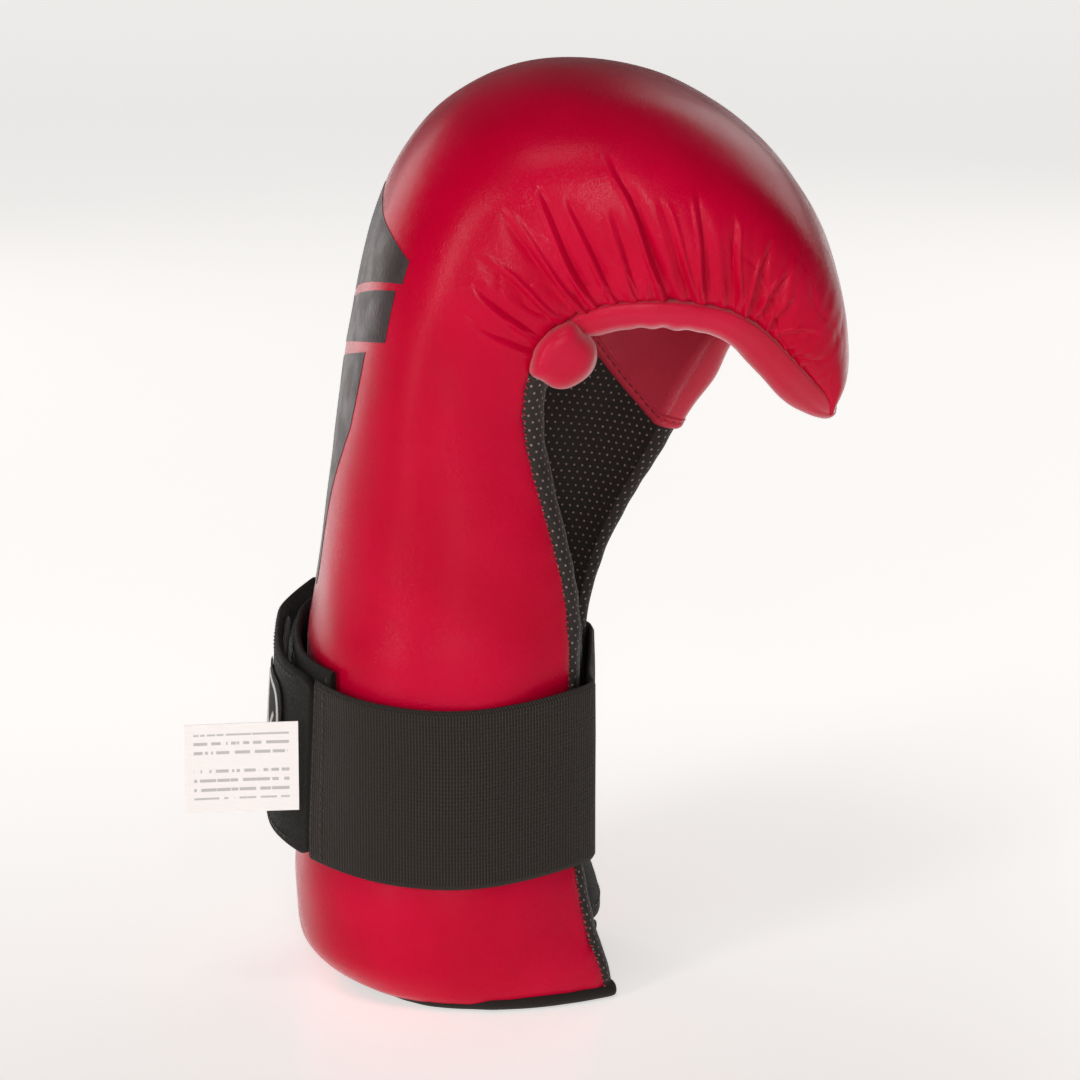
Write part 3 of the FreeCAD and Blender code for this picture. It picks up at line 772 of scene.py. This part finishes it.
def seam_frame(side, s):
    """Rows of middle, outward, sideways and half thickness of the wall's edge at stations s."""
    here = station(s)
    name = "near" if side < 0 else "far"
    x, z, seam = (here[name + part] for part in ("_x", "_z", "_seam"))
    outward = unit(np.stack((x - here["back_x"], 0.0 * s, z - here["back_z"]), -1))
    half_wall = here["wall"] / 2.0
    middle = np.stack((x, side * (seam - half_wall), z), -1)
    sideways = np.zeros_like(outward)
    sideways[:, 1] = side
    return np.concatenate((middle, outward, sideways, half_wall[:, None], here["rim"][:, None]), 1)


def tip_frame(t):
    """The same rows round the fingertip edge."""
    outer, inner = wall(15.0, t)
    outer_before, inner_before = wall(14.9, t)
    middle = (outer + inner) / 2.0
    outward = unit(middle - (outer_before + inner_before) / 2.0)
    through = outer - inner
    middle = middle + np.array((-TIP_IN, 0.0, TIP_UP))
    half_wall = np.linalg.norm(through, axis=-1) / 2.0
    bulge = np.full(len(t), TIP_BULGE)
    return np.concatenate((middle, outward, unit(through), half_wall[:, None], bulge[:, None]), 1)


def even_frames(frames, pitch, smoothing):
    """Frames at an even pitch, averaged over a few neighbours so that corners turn smoothly."""
    lengths = run_length(frames[:, :3], 0)
    places = np.linspace(0.0, lengths[-1], int(lengths[-1] / pitch))
    even = np.stack([np.interp(places, lengths, frames[:, k]) for k in range(frames.shape[1])], -1)
    kernel = np.ones(smoothing) / smoothing
    padded = np.pad(even, ((smoothing // 2, smoothing // 2), (0, 0)), mode="edge")
    smooth = np.stack([np.convolve(padded[:, k], kernel, mode="valid") for k in range(even.shape[1])], -1)
    smooth[:, 3:6] = unit(smooth[:, 3:6])
    smooth[:, 6:9] = unit(smooth[:, 6:9])
    return smooth


ROLL_ROOT = 1.6         # how far a roll sits in its seam
ROLL_ROUNDNESS = 0.85   # below 1 its outside is fuller than round


def roll_rings(frames, around, fatness):
    """Rings of a padded roll: a full round outside and a shallow root that sits in the seam."""
    angles = circle(around)
    middle, outward, sideways = (frames[:, None, k:k + 3] for k in (0, 3, 6))
    half = frames[:, 9][:, None, None] * fatness
    bulge = frames[:, 10][:, None, None]
    rise = np.sin(angles)[None, :, None]
    out = np.where(rise > 0, bulge * np.abs(rise) ** ROLL_ROUNDNESS, ROLL_ROOT * rise)
    return middle + sideways * half * np.cos(angles)[None, :, None] + outward * out


def lumps(rings, frames, amount, wavelength, seed):
    """The rings pushed in and out by soft lumps of the stuffing."""
    away = unit(rings - frames[:, None, :3])
    return rings + away * (amount * waves(rings, wavelength, seed))[..., None]


def make_roll():
    """One padded roll from the bulb along the near seam, round the fingertips and down the thumb seam."""
    s_near = np.linspace(7.62, 14.55, 240)
    s_far = np.linspace(14.55, 9.25, 200)
    near = seam_frame(-1.0, s_near)
    far = seam_frame(1.0, s_far)
    for frames, s in ((near, s_near), (far, s_far)):
        frames[:, 10] = np.maximum(frames[:, 10], ROLL_BULGE * (1.0 - smooth_step(s, 13.8, 14.5)))
        path = unit(np.gradient(frames[:, :3], axis=0) * np.array((1.0, 0.0, 1.0)))
        frames[:, 3:6] = unit(frames[:, 3:6] - path * np.sum(frames[:, 3:6] * path, 1, keepdims=True))
    frames = np.concatenate((near, tip_frame(np.linspace(-0.72, 0.72, 60)), far))
    frames = even_frames(frames, 0.8, 13)
    run = run_length(frames[:, :3], 0)
    frames[:, 9:11] *= (0.72 + 0.28 * smooth_step(np.minimum(run, run[-1] - run), 2.0, 13.0))[:, None]
    rings = roll_rings(frames, ROLL_AROUND, 1.03)
    rings = lumps(rings, frames, 0.16, 14.0, 51)
    lower = np.maximum(np.sin(circle(ROLL_AROUND)), 0.0)[None, :, None]
    ripple = 0.35 * bump_at(frames[:, 0], 33.0, 9.0) * (frames[:, 1] < 0.0) * np.sin(frames[:, 0] * 0.9)
    slack = (0.08 * waves(frames[:, :3], 15.0, 52) + ripple)[:, None, None]
    rings = rings + frames[:, None, 3:6] * slack * lower
    # A shallow line where the roll's own cover is turned under
    groove = bump_at(np.degrees(circle(ROLL_AROUND)), 27.0, 7.0)[None, :, None]
    rings = rings - frames[:, None, 6:9] * 0.45 * groove
    piece = tube("finger_roll", rings, RED_ROLL, "glove")
    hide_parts("finger_roll_near", "finger_roll_far")
    # Stitches across the roll where its swollen end is sewn on
    k = int(np.argmin(np.abs(frames[:, 0] - JUNCTION_X) + 99.0 * (frames[:, 1] > 0.0)))
    line = rings[k, :17]
    stitches("bulb_stitches", line, unit(line - frames[k, :3]), RED_THREAD, "glove",
             pitch=1.5, share=0.6, radius=0.2)


# Outline of the roll's swollen end seen from the side: x and z
BULB_OUTLINE = ((-2.8, 180.0), (0.4, 177.6), (3.6, 175.7), (7.2, 175.5), (11.2, 177.4), (14.2, 180.3),
                (15.4, 183.6), (14.7, 187.2), (11.8, 190.9), (8.6, 194.6), (3.8, 192.8), (-0.1, 189.4),
                (-2.2, 185.0))
BULB_MIDDLE = (7.2, 183.8)
BULB_Y = -48.6
BULB_HALF = 7.8
BULB_LEAN = 0.26        # its seam side stands out towards the near side
JUNCTION_X = 9.9


def make_bulb():
    """The roll's swollen end: a rounded leather cap sewn on across the roll."""
    corners = np.array(BULB_OUTLINE, float)
    count = len(corners)
    places = np.arange(0.0, count, count / 96.0)
    k = places.astype(int)
    u = (places - k)[:, None]
    p0, p1, p2, p3 = (corners[(k + step) % count] for step in (-1, 0, 1, 2))
    outline = 0.5 * (2.0 * p1 + (p2 - p0) * u + (2.0 * p0 - 5.0 * p1 + 4.0 * p2 - p3) * u ** 2
                     + (3.0 * p1 - p0 - 3.0 * p2 + p3) * u ** 3)
    middle = np.array(BULB_MIDDLE)
    shares = np.sin(np.linspace(0.03, 1.0, 20) * math.pi / 2.0)
    rings = []
    for side, order in ((-1.0, shares), (1.0, shares[-2::-1])):
        for share in order:
            flat = middle + (outline - middle) * share
            dome = side * BULB_HALF * math.sqrt(1.0 - share ** 5.0)
            lean = BULB_LEAN * ((flat[:, 0] - middle[0]) * 0.8 - (flat[:, 1] - middle[1]) * 0.6)
            rings.append(np.stack((flat[:, 0], BULB_Y + dome + lean, flat[:, 1]), -1))
    rings = np.array(rings)
    away = unit(rings - np.array((middle[0], BULB_Y, middle[1])))
    rings += away * (0.16 * waves(rings, 9.0, 53))[..., None]
    piece = tube("roll_end_bulb", rings, RED_ROLL, "glove")
    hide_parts("roll_end_cap")


def make_bindings():
    """Mesh-covered edges of the cuff opening, whip-stitched to the leather."""
    edges = ((-1.0, "near", "near_edge_binding", 6.9), (1.0, "far", "far_edge_binding", 6.66))
    for side, name, node, end in edges:
        frames = even_frames(seam_frame(side, np.linspace(0.0, end, 160)), 0.9, 3)
        rings = lumps(roll_rings(frames, 28, 0.98), frames, 0.14, 8.0, 61 + int(side))
        piece = tube(name + "_binding", rings, LINING_MESH, "glove")
        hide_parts(node)
        seam = frames[:, :3] + frames[:, 6:9] * (frames[:, 9] + 0.02)[:, None] + frames[:, 3:6] * 0.1
        stitches(name + "_binding_stitches", seam, frames[:, 6:9], RED_THREAD, "glove",
                 pitch=1.9, share=0.3, radius=0.22, slant=0.8)


HEM_ENDS = ((0.9, 0.96), (1.8, 0.82), (2.4, 0.5))      # past each seam: how far, share of the width
HEM_RADIUS = 2.25
HEM_WIDE = 2.3          # a narrower half width makes the hem lower too


def make_hem():
    """Soft fabric tube under the cuff's lower edge."""
    t = np.linspace(-1.0, 1.0, 200)
    inset = 4.5 * (1.0 - smooth_step(np.abs(t), 0.25, 0.55)) - 3.4 * bump_at(t, -0.72, 0.28)
    outer = wall_depth(0.0, t, 0.8 + inset)
    inner = wall_depth(0.0, t, 0.2 - 0.8 * inset, True)
    middle = (outer + inner) / 2.0
    half = np.linalg.norm(outer[:, :2] - inner[:, :2], axis=1) / 2.0
    # Both ends run on a little past the seams
    ends = []
    for k, step in ((0, -1), (-1, 1)):
        direction = unit(middle[k] - middle[k - step * 3])
        direction[2] = 0.0
        ends.append([(middle[k] + direction * far, half[k] * share) for far, share in HEM_ENDS])
    points = np.array([point for point, _ in ends[0][::-1]] + list(middle) + [point for point, _ in ends[1]])
    widths = np.array([width for _, width in ends[0][::-1]] + list(half) + [width for _, width in ends[1]])
    points[:, 2] = 0.0
    direction = unit(np.gradient(points, axis=0))
    sideways = np.stack((direction[:, 1], -direction[:, 0], 0.0 * widths), -1)
    angles = circle(32)
    tall = np.minimum(widths, HEM_WIDE)[:, None]
    wrinkle = 1.0 + 0.07 * waves(points, 9.0, 71)[:, None]
    side = np.sign(np.cos(angles)) * np.abs(np.cos(angles)) ** 0.8
    rings = points[:, None, :] + sideways[:, None, :] * (widths[:, None] * side * wrinkle)[..., None]
    rings[..., 2] = HEM_RADIUS * wrinkle * tall / HEM_WIDE * (1.0 + np.sin(angles)[None, :])
    piece = tube("hem_roll", rings, HEM_FABRIC, "glove")
    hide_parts("cuff_hem")


# ---- Thumb pocket and finger band ----
POCKET_HEM = 6.4
POCKET_HEM_RISE = 2.5
POCKET_END = 9.7
POCKET_SEW = 2.2        # stitch line, from the hem's edge
WRAP_STEPS = 26


def make_pocket():
    """Leather panel on the thumb wall with a turned, stitched hem; it wraps over the wall's edge."""
    along = np.concatenate((np.linspace(0.0, 0.12, 24)[:-1], np.linspace(0.12, 1.0, 60)))[:, None]
    across = np.linspace(0.44, 0.985, 84)[None, :]
    hem = POCKET_HEM + POCKET_HEM_RISE * (0.98 - across)
    s = hem + (POCKET_END - hem) * along
    edge_places = s[:, -1]
    frames = seam_frame(1.0, edge_places)
    reach = 5.2 + 2.7 * bump_at(edge_places, 7.4, 0.75)
    angles = np.linspace(0.96, 0.06, WRAP_STEPS) * math.pi
    faces = []
    for depth in (1.5, 0.2):
        inside = wall_depth(s, across, -depth, True)
        spare = depth * np.linspace(1.0, 0.12, WRAP_STEPS)[None, :, None]
        side = (frames[:, 9][:, None, None] + spare) * np.cos(angles)[None, :, None]
        out = (reach[:, None, None] + spare) * np.sin(angles)[None, :, None] ** 0.85
        wrap = frames[:, None, :3] + frames[:, None, 6:9] * side + frames[:, None, 3:6] * out
        faces.append(np.concatenate((inside, wrap), 1))
    top, base = faces
    toward = unit(top - base)
    from_hem = run_length(top, 0)
    fold = 0.55 * (1.0 - smooth_step(from_hem, 3.0, 3.6)) - 0.35 * bump_at(from_hem, POCKET_SEW, 0.35)
    fold -= 0.8 * np.exp(-(from_hem / 0.5) ** 2)
    fold *= (1.0 - smooth_step(np.arange(top.shape[1]), top.shape[1] - 22.0, top.shape[1] - 4.0))[None, :]
    top = top + toward * (fold + 0.25 * waves(top, 20.0, 81))[..., None]
    # The pocket uses the lighter red leather copy, with light painted into its colour.
    piece = shell("thumb_pocket_panel", top, base, RED_INSIDE_PAINTED_LIGHT, "glove")
    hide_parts("thumb_pocket")
    columns = range(top.shape[1] - 8)
    line = np.array([[np.interp(POCKET_SEW, from_hem[:, j], top[:, j, k]) for k in range(3)]
                     for j in columns])
    normals = toward[8, :len(line)]
    stitches("pocket_stitches", line - normals * 0.05, normals, DARK_RED_THREAD, "glove",
             pitch=2.6, share=0.7, radius=0.26)


BAND_REACH = 0.86
BAND_LIFT = 0.62        # share of the way from the hood to the palm


def make_finger_band():
    """Elastic band under the hood that the fingers slip through."""
    s = np.linspace(9.9, 11.1, 40)[:, None]
    across = np.linspace(-BAND_REACH, BAND_REACH, 120)[None, :]
    here = station(s)
    x, z = ((here["near_" + part] + here["far_" + part]) / 2.0 for part in ("x", "z"))
    palm = np.stack((x, 0.0 * s, z), -1)
    lift = (BAND_LIFT * (1.0 - (across / BAND_REACH) ** 4))[..., None]
    faces = []
    for depth in (-0.2 - ELASTIC_THICKNESS, -0.2):
        base = wall_depth(s, across, depth, True)
        faces.append(base + (palm - base) * lift)
    piece = shell("finger_band", faces[0], faces[1], ELASTIC, "glove")
    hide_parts("finger_strap")


# ---- Wrist strap ----
BAND_PACKING = 0.4      # how much closer together a band's points lie at its edges
BACK_LEAN = 0.065       # round the back the bands lean in with the cuff by this share of their height
BACK_LEAN_FROM = 52.0   # above this height
BAND_PITCH = 0.9
HINGE_BEND = 12.0       # width of strap at a hinge, passed to bend, which does not use it
TAB_BEND = 8.0
STRAP_PITCH = 2.4       # black stitches: from one to the next, and their radius
STRAP_THREAD = 0.26
PAD_GAP = 0.05
PAD_CORNER = 3.0
PATCH_THICKNESS = 0.6
THREAD_ACROSS = 0.7     # half width and half height of the patch's sewn lines
THREAD_UP = 0.3


def flat_band(name, path, places, height, thickness, material, body, distance=0.0, corner=0.0,
              crown=0.0, slack=0.0, seed=0, columns=29, edge=0.7, flare=0.0):
    """A soft flat band on edge along a path: rounded edges and, if asked for, rounded corners and a crown."""
    rough_places = np.linspace(places[0], places[1], 200)
    length = run_length(strap_frame(path, rough_places)[0], 0)
    run = np.linspace(0.0, length[-1], max(6, int(length[-1] / BAND_PITCH)))
    line, _, outward = strap_frame(path, np.interp(run, length, rough_places))
    to_end = np.minimum(run, run[-1] - run)
    cut = np.clip(1.0 - to_end / corner, 0.0, 1.0) if corner else 0.0 * run
    half = height / 2.0 - corner * (1.0 - np.sqrt(1.0 - cut ** 2))
    u = packed(columns, BAND_PACKING)
    heights = half[:, None] * u[None, :]
    to_edge = np.minimum(half[:, None] * (1.0 - np.abs(u))[None, :], to_end[:, None] if corner else 1e9)
    profile = np.sqrt(1.0 - np.clip(1.0 - to_edge / edge, 0.0, 0.95) ** 2)
    middle = line[:, None, :] + heights[..., None] * np.array((0.0, 0.0, 1.0))
    push = distance + thickness / 2.0 + slack * waves(middle, 26.0, seed)
    push = push + flare * smooth_step(-heights, 20.0, 42.0)
    above = np.maximum(middle[..., 2] - BACK_LEAN_FROM, 0.0)
    push = push - BACK_LEAN * above * smooth_step(-middle[..., 0], 48.0, 66.0)
    lift = thickness / 2.0 * profile
    puffed = crown * (1.0 - u[None, :] ** 2) * np.minimum(1.0, to_end / 8.0)[:, None]
    outer = middle + outward[:, None, :] * (push + lift + puffed)[..., None]
    inner = middle + outward[:, None, :] * (push - lift)[..., None]
    return shell(name, outer, inner, material, body), outer, outward


def sew_across(name, outer, outward, back, body, from_start=False):
    """A row of stitches across a band, some millimetres from one of its ends."""
    lengths = run_length(outer[:, outer.shape[1] // 2], 0)
    from_end = lengths if from_start else lengths[-1] - lengths
    row = int(np.argmin(np.abs(from_end - back)))
    line = outer[row, 1:-1]
    normals = np.repeat(outward[row][None, :], len(line), 0)
    stitches(name, line, normals, BLACK_THREAD, body, STRAP_PITCH, radius=STRAP_THREAD)


def sew_along(name, outer, outward, column, body, trim=3):
    """A row of stitches along a band, beside one of its long edges."""
    stitches(name, outer[trim:-trim, column], outward[trim:-trim], BLACK_THREAD, body,
             STRAP_PITCH, radius=STRAP_THREAD)


def bend(piece, first, second, place, width):
    """Bakes a strap piece's placement into its mesh and finds the path's point at the place; it does not bend
    the piece, and the two bodies and the width are not used.
    """
    point, direction, _ = strap_frame(STRAP_PATH, [place])
    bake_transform(piece)


def make_strap():
    """The wrist strap from its anchor over the palm and the near side to its tab on the back of the cuff."""
    piece, outer, outward = flat_band("strap_elastic_palm", STRAP_PATH, (0.0, PALM_SPLICE_AT), STRAP_WIDTH,
                                      ELASTIC_THICKNESS, ELASTIC, None, slack=0.12, seed=91)
    bend(piece, "glove", "palm_closure", PALM_HINGE_AT, HINGE_BEND)
    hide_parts("strap_anchor", "elastic_palm")
    sew_across("anchor_stitches", outer, outward, 2.2, "glove", True)
    sew_across("anchor_inner_stitches", outer, outward, 11.0, "glove", True)
    piece, outer, outward = flat_band("strap_elastic_near", STRAP_PATH, (PALM_SPLICE_AT, TAB_HINGE_AT),
                                      STRAP_WIDTH, ELASTIC_THICKNESS, ELASTIC, None, slack=0.12,
                                      seed=91)
    bend(piece, "palm_closure", "strap_side", SIDE_HINGE_AT, HINGE_BEND)
    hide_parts("elastic_palm", "elastic_side")
    sew_across("joint_stitches", outer, outward, 4.4, "strap_side")
    sew_across("joint_edge_stitches", outer, outward, 0.9, "strap_side")
    piece, outer, outward = flat_band("strap_tab_end", STRAP_PATH, (TAB_HINGE_AT, TAB_END_AT), STRAP_WIDTH,
                                      TAB_THICKNESS, FABRIC, None, corner=5.0, slack=0.15,
                                      seed=92, columns=41)
    bend(piece, "strap_side", "strap_tab", TAB_HINGE_AT, TAB_BEND)
    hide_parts("strap_tab")
    for side, column in (("lower", 3), ("upper", 37)):
        sew_along("tab_" + side + "_stitches", outer[8:], outward[8:], column, "strap_tab")
    sew_across("tab_end_stitches", outer[:, 3:-3], outward, 2.4, "strap_tab")
    piece, _, _ = flat_band("hook_field", STRAP_PATH, (12.3, 14.8), PAD_HEIGHT, PAD_THICKNESS, HOOKS,
                            "strap_tab", -PAD_THICKNESS - PAD_GAP, PAD_CORNER)
    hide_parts("hook_pad")
    piece, outer, outward = flat_band("tab_patch", STRAP_PATH, (11.9, 13.6), 36.0, PATCH_THICKNESS, FABRIC,
                                      "strap_tab", TAB_THICKNESS + 0.1, 6.0, columns=25)
    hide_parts("strap_patch")
    make_patch_lines(outer, outward)


def make_patch_lines(outer, outward):
    """A raised rounded frame and two plain chevrons sewn on the patch in white."""
    turn = np.linspace(0.0, 2.0 * math.pi, 120)
    sides = np.stack((np.cos(turn), np.sin(turn)), -1)
    lines = {"patch_frame": np.array((0.84, 0.86)) * np.sign(sides) * np.abs(sides) ** 0.5}
    across = np.linspace(-0.5, 0.5, 41)
    for name, low in (("patch_chevron_lower", -0.45), ("patch_chevron_upper", 0.0)):
        lines[name] = np.stack((across, low + 0.9 * np.abs(across)), -1)
    rows, columns = outer.shape[:2]
    for name, line in lines.items():
        row = (line[:, 0] + 1.0) / 2.0 * (rows - 1)
        column = np.interp(line[:, 1], packed(columns, BAND_PACKING), np.arange(columns))
        points = between(outer, row, column)
        normals = outward[np.minimum(row.astype(int), rows - 2)]
        side = unit(np.cross(normals, np.gradient(points, axis=0)))
        angles = circle(8)[None, :, None]
        rings = points[:, None] + side[:, None] * THREAD_ACROSS * np.cos(angles)
        rings = rings + normals[:, None] * THREAD_UP * np.sin(angles)
        tube(name, rings, WHITE_THREAD, "strap_tab", 80.0)


def make_landing():
    """Band round the back of the cuff that the tab closes on."""
    piece, outer, outward = flat_band("landing_strip", LANDING_PATH, (0.0, 7.0), STRAP_WIDTH, BAND_THICKNESS,
                                      FABRIC, "glove", slack=0.15, seed=93)
    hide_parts("landing_band")
    sew_across("landing_far_stitches", outer, outward, 2.2, "glove")
    sew_across("landing_near_stitches", outer, outward, 2.2, "glove", True)
    piece, _, _ = flat_band("loop_field", LANDING_PATH, (1.8, 4.2), PAD_HEIGHT, PAD_THICKNESS, LOOPS, "glove",
                            BAND_THICKNESS + PAD_GAP, PAD_CORNER)
    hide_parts("loop_pad")


def make_flap():
    """Padded fabric flap that closes the palm side under the elastic."""
    piece, outer, outward = flat_band("palm_flap_pad", FLAP_PATH, (0.0, 4.0), FLAP_HEIGHT, 2.0, FABRIC,
                                      "palm_closure", corner=9.0, crown=0.7, slack=0.2,
                                      seed=94, columns=61, edge=1.2, flare=5.6)
    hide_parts("palm_flap")
    for side, column in (("lower", 4), ("upper", 56)):
        sew_along("flap_" + side + "_stitches", outer, outward, column, "palm_closure", 4)
    sew_across("flap_near_stitches", outer[:, 4:-4], outward, 3.0, "palm_closure")
    sew_across("flap_far_stitches", outer[:, 4:-4], outward, 3.0, "palm_closure", True)


LABEL_HALF = 0.12       # half of its thickness


def make_label():
    """Sewn-in label: a stiff little sheet with a slight curl."""
    low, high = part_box("care_label")
    wide = (high.x - low.x) * 1000.0
    tall = (high.z - low.z) * 1000.0
    corner = (np.array(low) - SHIFT) * 1000.0
    u = np.linspace(0.0, 1.0, 40)[:, None]
    v = np.linspace(0.0, 1.0, 30)[None, :]
    x = corner[0] - 1.4 + wide * u + 0.0 * v
    z = corner[2] + 1.1 + tall * v - 0.9 * (1.0 - u)
    y = corner[1] + 0.1 - 1.3 * (1.0 - u) ** 2 + 0.5 * np.sin(math.pi * v) * (1.0 - u)
    face = np.stack((x, y, z), -1)
    away = np.array((0.0, -LABEL_HALF, 0.0))
    piece = shell("label_sheet", face + away, face - away, LABEL, "care_label_body")
    uv = piece.data.uv_layers[0].data
    values = np.zeros(len(uv) * 2)
    uv.foreach_get("uv", values)
    values = values.reshape(-1, 2)
    values = np.stack((values[:, 1] - wide / 2.0 / CENTIMETRE, values[:, 0]), -1)
    uv.foreach_set("uv", values.ravel())
    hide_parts("care_label")


# ---- Studio ----
# Lamps: place in metres, width and height in metres, and power
LAMPS = {
    "key": ((0.05, -1.50, 0.42), 0.12, 0.75, 6.9),
    "left": ((-0.99, -1.20, 0.42), 0.30, 0.90, 8.6),
    "top": ((-0.3, -0.9, 1.5), 0.6, 0.6, 5.0),
    "left_rim": ((-1.00, 1.22, 0.36), 0.8, 0.8, 3.8),
    "right_rim": ((0.78, 1.40, 0.84), 0.9, 0.9, 3.4),
}
LAMP_COLOUR = colour(255, 252, 250)[:3]
FLOOR_RADIUS = 9.0
WORLD_STRENGTH = 0.07


def make_floor():
    """Pale floor that glows a little more behind the glove, like a lit sweep."""
    m = Material("studio_floor", roughness=0.3, specular=0.3)
    base = m.mix(m.noise(3.0, 2.0), colour(226, 223, 221), colour(230, 227, 225))
    depth = m.node("ShaderNodeSeparateXYZ", {0: m.coordinates.outputs["Object"]}).outputs[1]
    glow = m.maths("SUBTRACT", m.share(depth, -0.35, 0.35, 0.44, 0.745), m.share(depth, 1.5, 4.5, 0.0, -0.05))
    m.set(m.shader, {"Base Color": base, "Emission Color": colour(255, 253, 251), "Emission Strength": glow})
    bpy.ops.mesh.primitive_circle_add(vertices=96, radius=FLOOR_RADIUS, fill_type="NGON")
    floor = bpy.context.object
    floor.name = "studio_floor"
    floor.data.materials.append(m.material)


def aim(thing, target):
    """Turns a lamp or the camera to the target and adds it to the scene."""
    thing.rotation_euler = (target - thing.location).to_track_quat("-Z", "Y").to_euler()
    bpy.context.scene.collection.objects.link(thing)


def make_studio():
    """Soft lamps, a faint even sky and the camera."""
    make_floor()
    scene = bpy.context.scene
    scene.world = bpy.data.worlds.new("studio_world")
    scene.world.use_nodes = True
    background = next(n for n in scene.world.node_tree.nodes if n.type == "BACKGROUND")
    background.inputs["Color"].default_value = colour(250, 249, 248)
    background.inputs["Strength"].default_value = WORLD_STRENGTH
    target = Vector(to_row((0.0, 0.0, VIEW_HEIGHT * 1000.0)))
    for name, (place, width, height, power) in LAMPS.items():
        data = bpy.data.lights.new(name, "AREA")
        data.shape = "RECTANGLE"
        data.size = width
        data.size_y = height
        data.energy = power
        data.color = LAMP_COLOUR
        lamp = bpy.data.objects.new(name, data)
        lamp.location = place
        aim(lamp, target)
    camera = bpy.data.objects.new("camera", bpy.data.cameras.new("camera"))
    camera.data.lens = LENS
    back = Vector((0.0, -math.cos(VIEW_ELEVATION), math.sin(VIEW_ELEVATION)))
    camera.location = target + back * VIEW_DISTANCE
    aim(camera, target)
    scene.camera = camera
    scene.view_settings.view_transform = "Standard"


cover = sculpted_cover()
make_cover(cover)
make_print(cover)
make_inside()
make_roll()
make_bulb()
make_bindings()
make_hem()
make_pocket()
make_finger_band()
make_strap()
make_landing()
make_flap()
make_label()
make_studio()
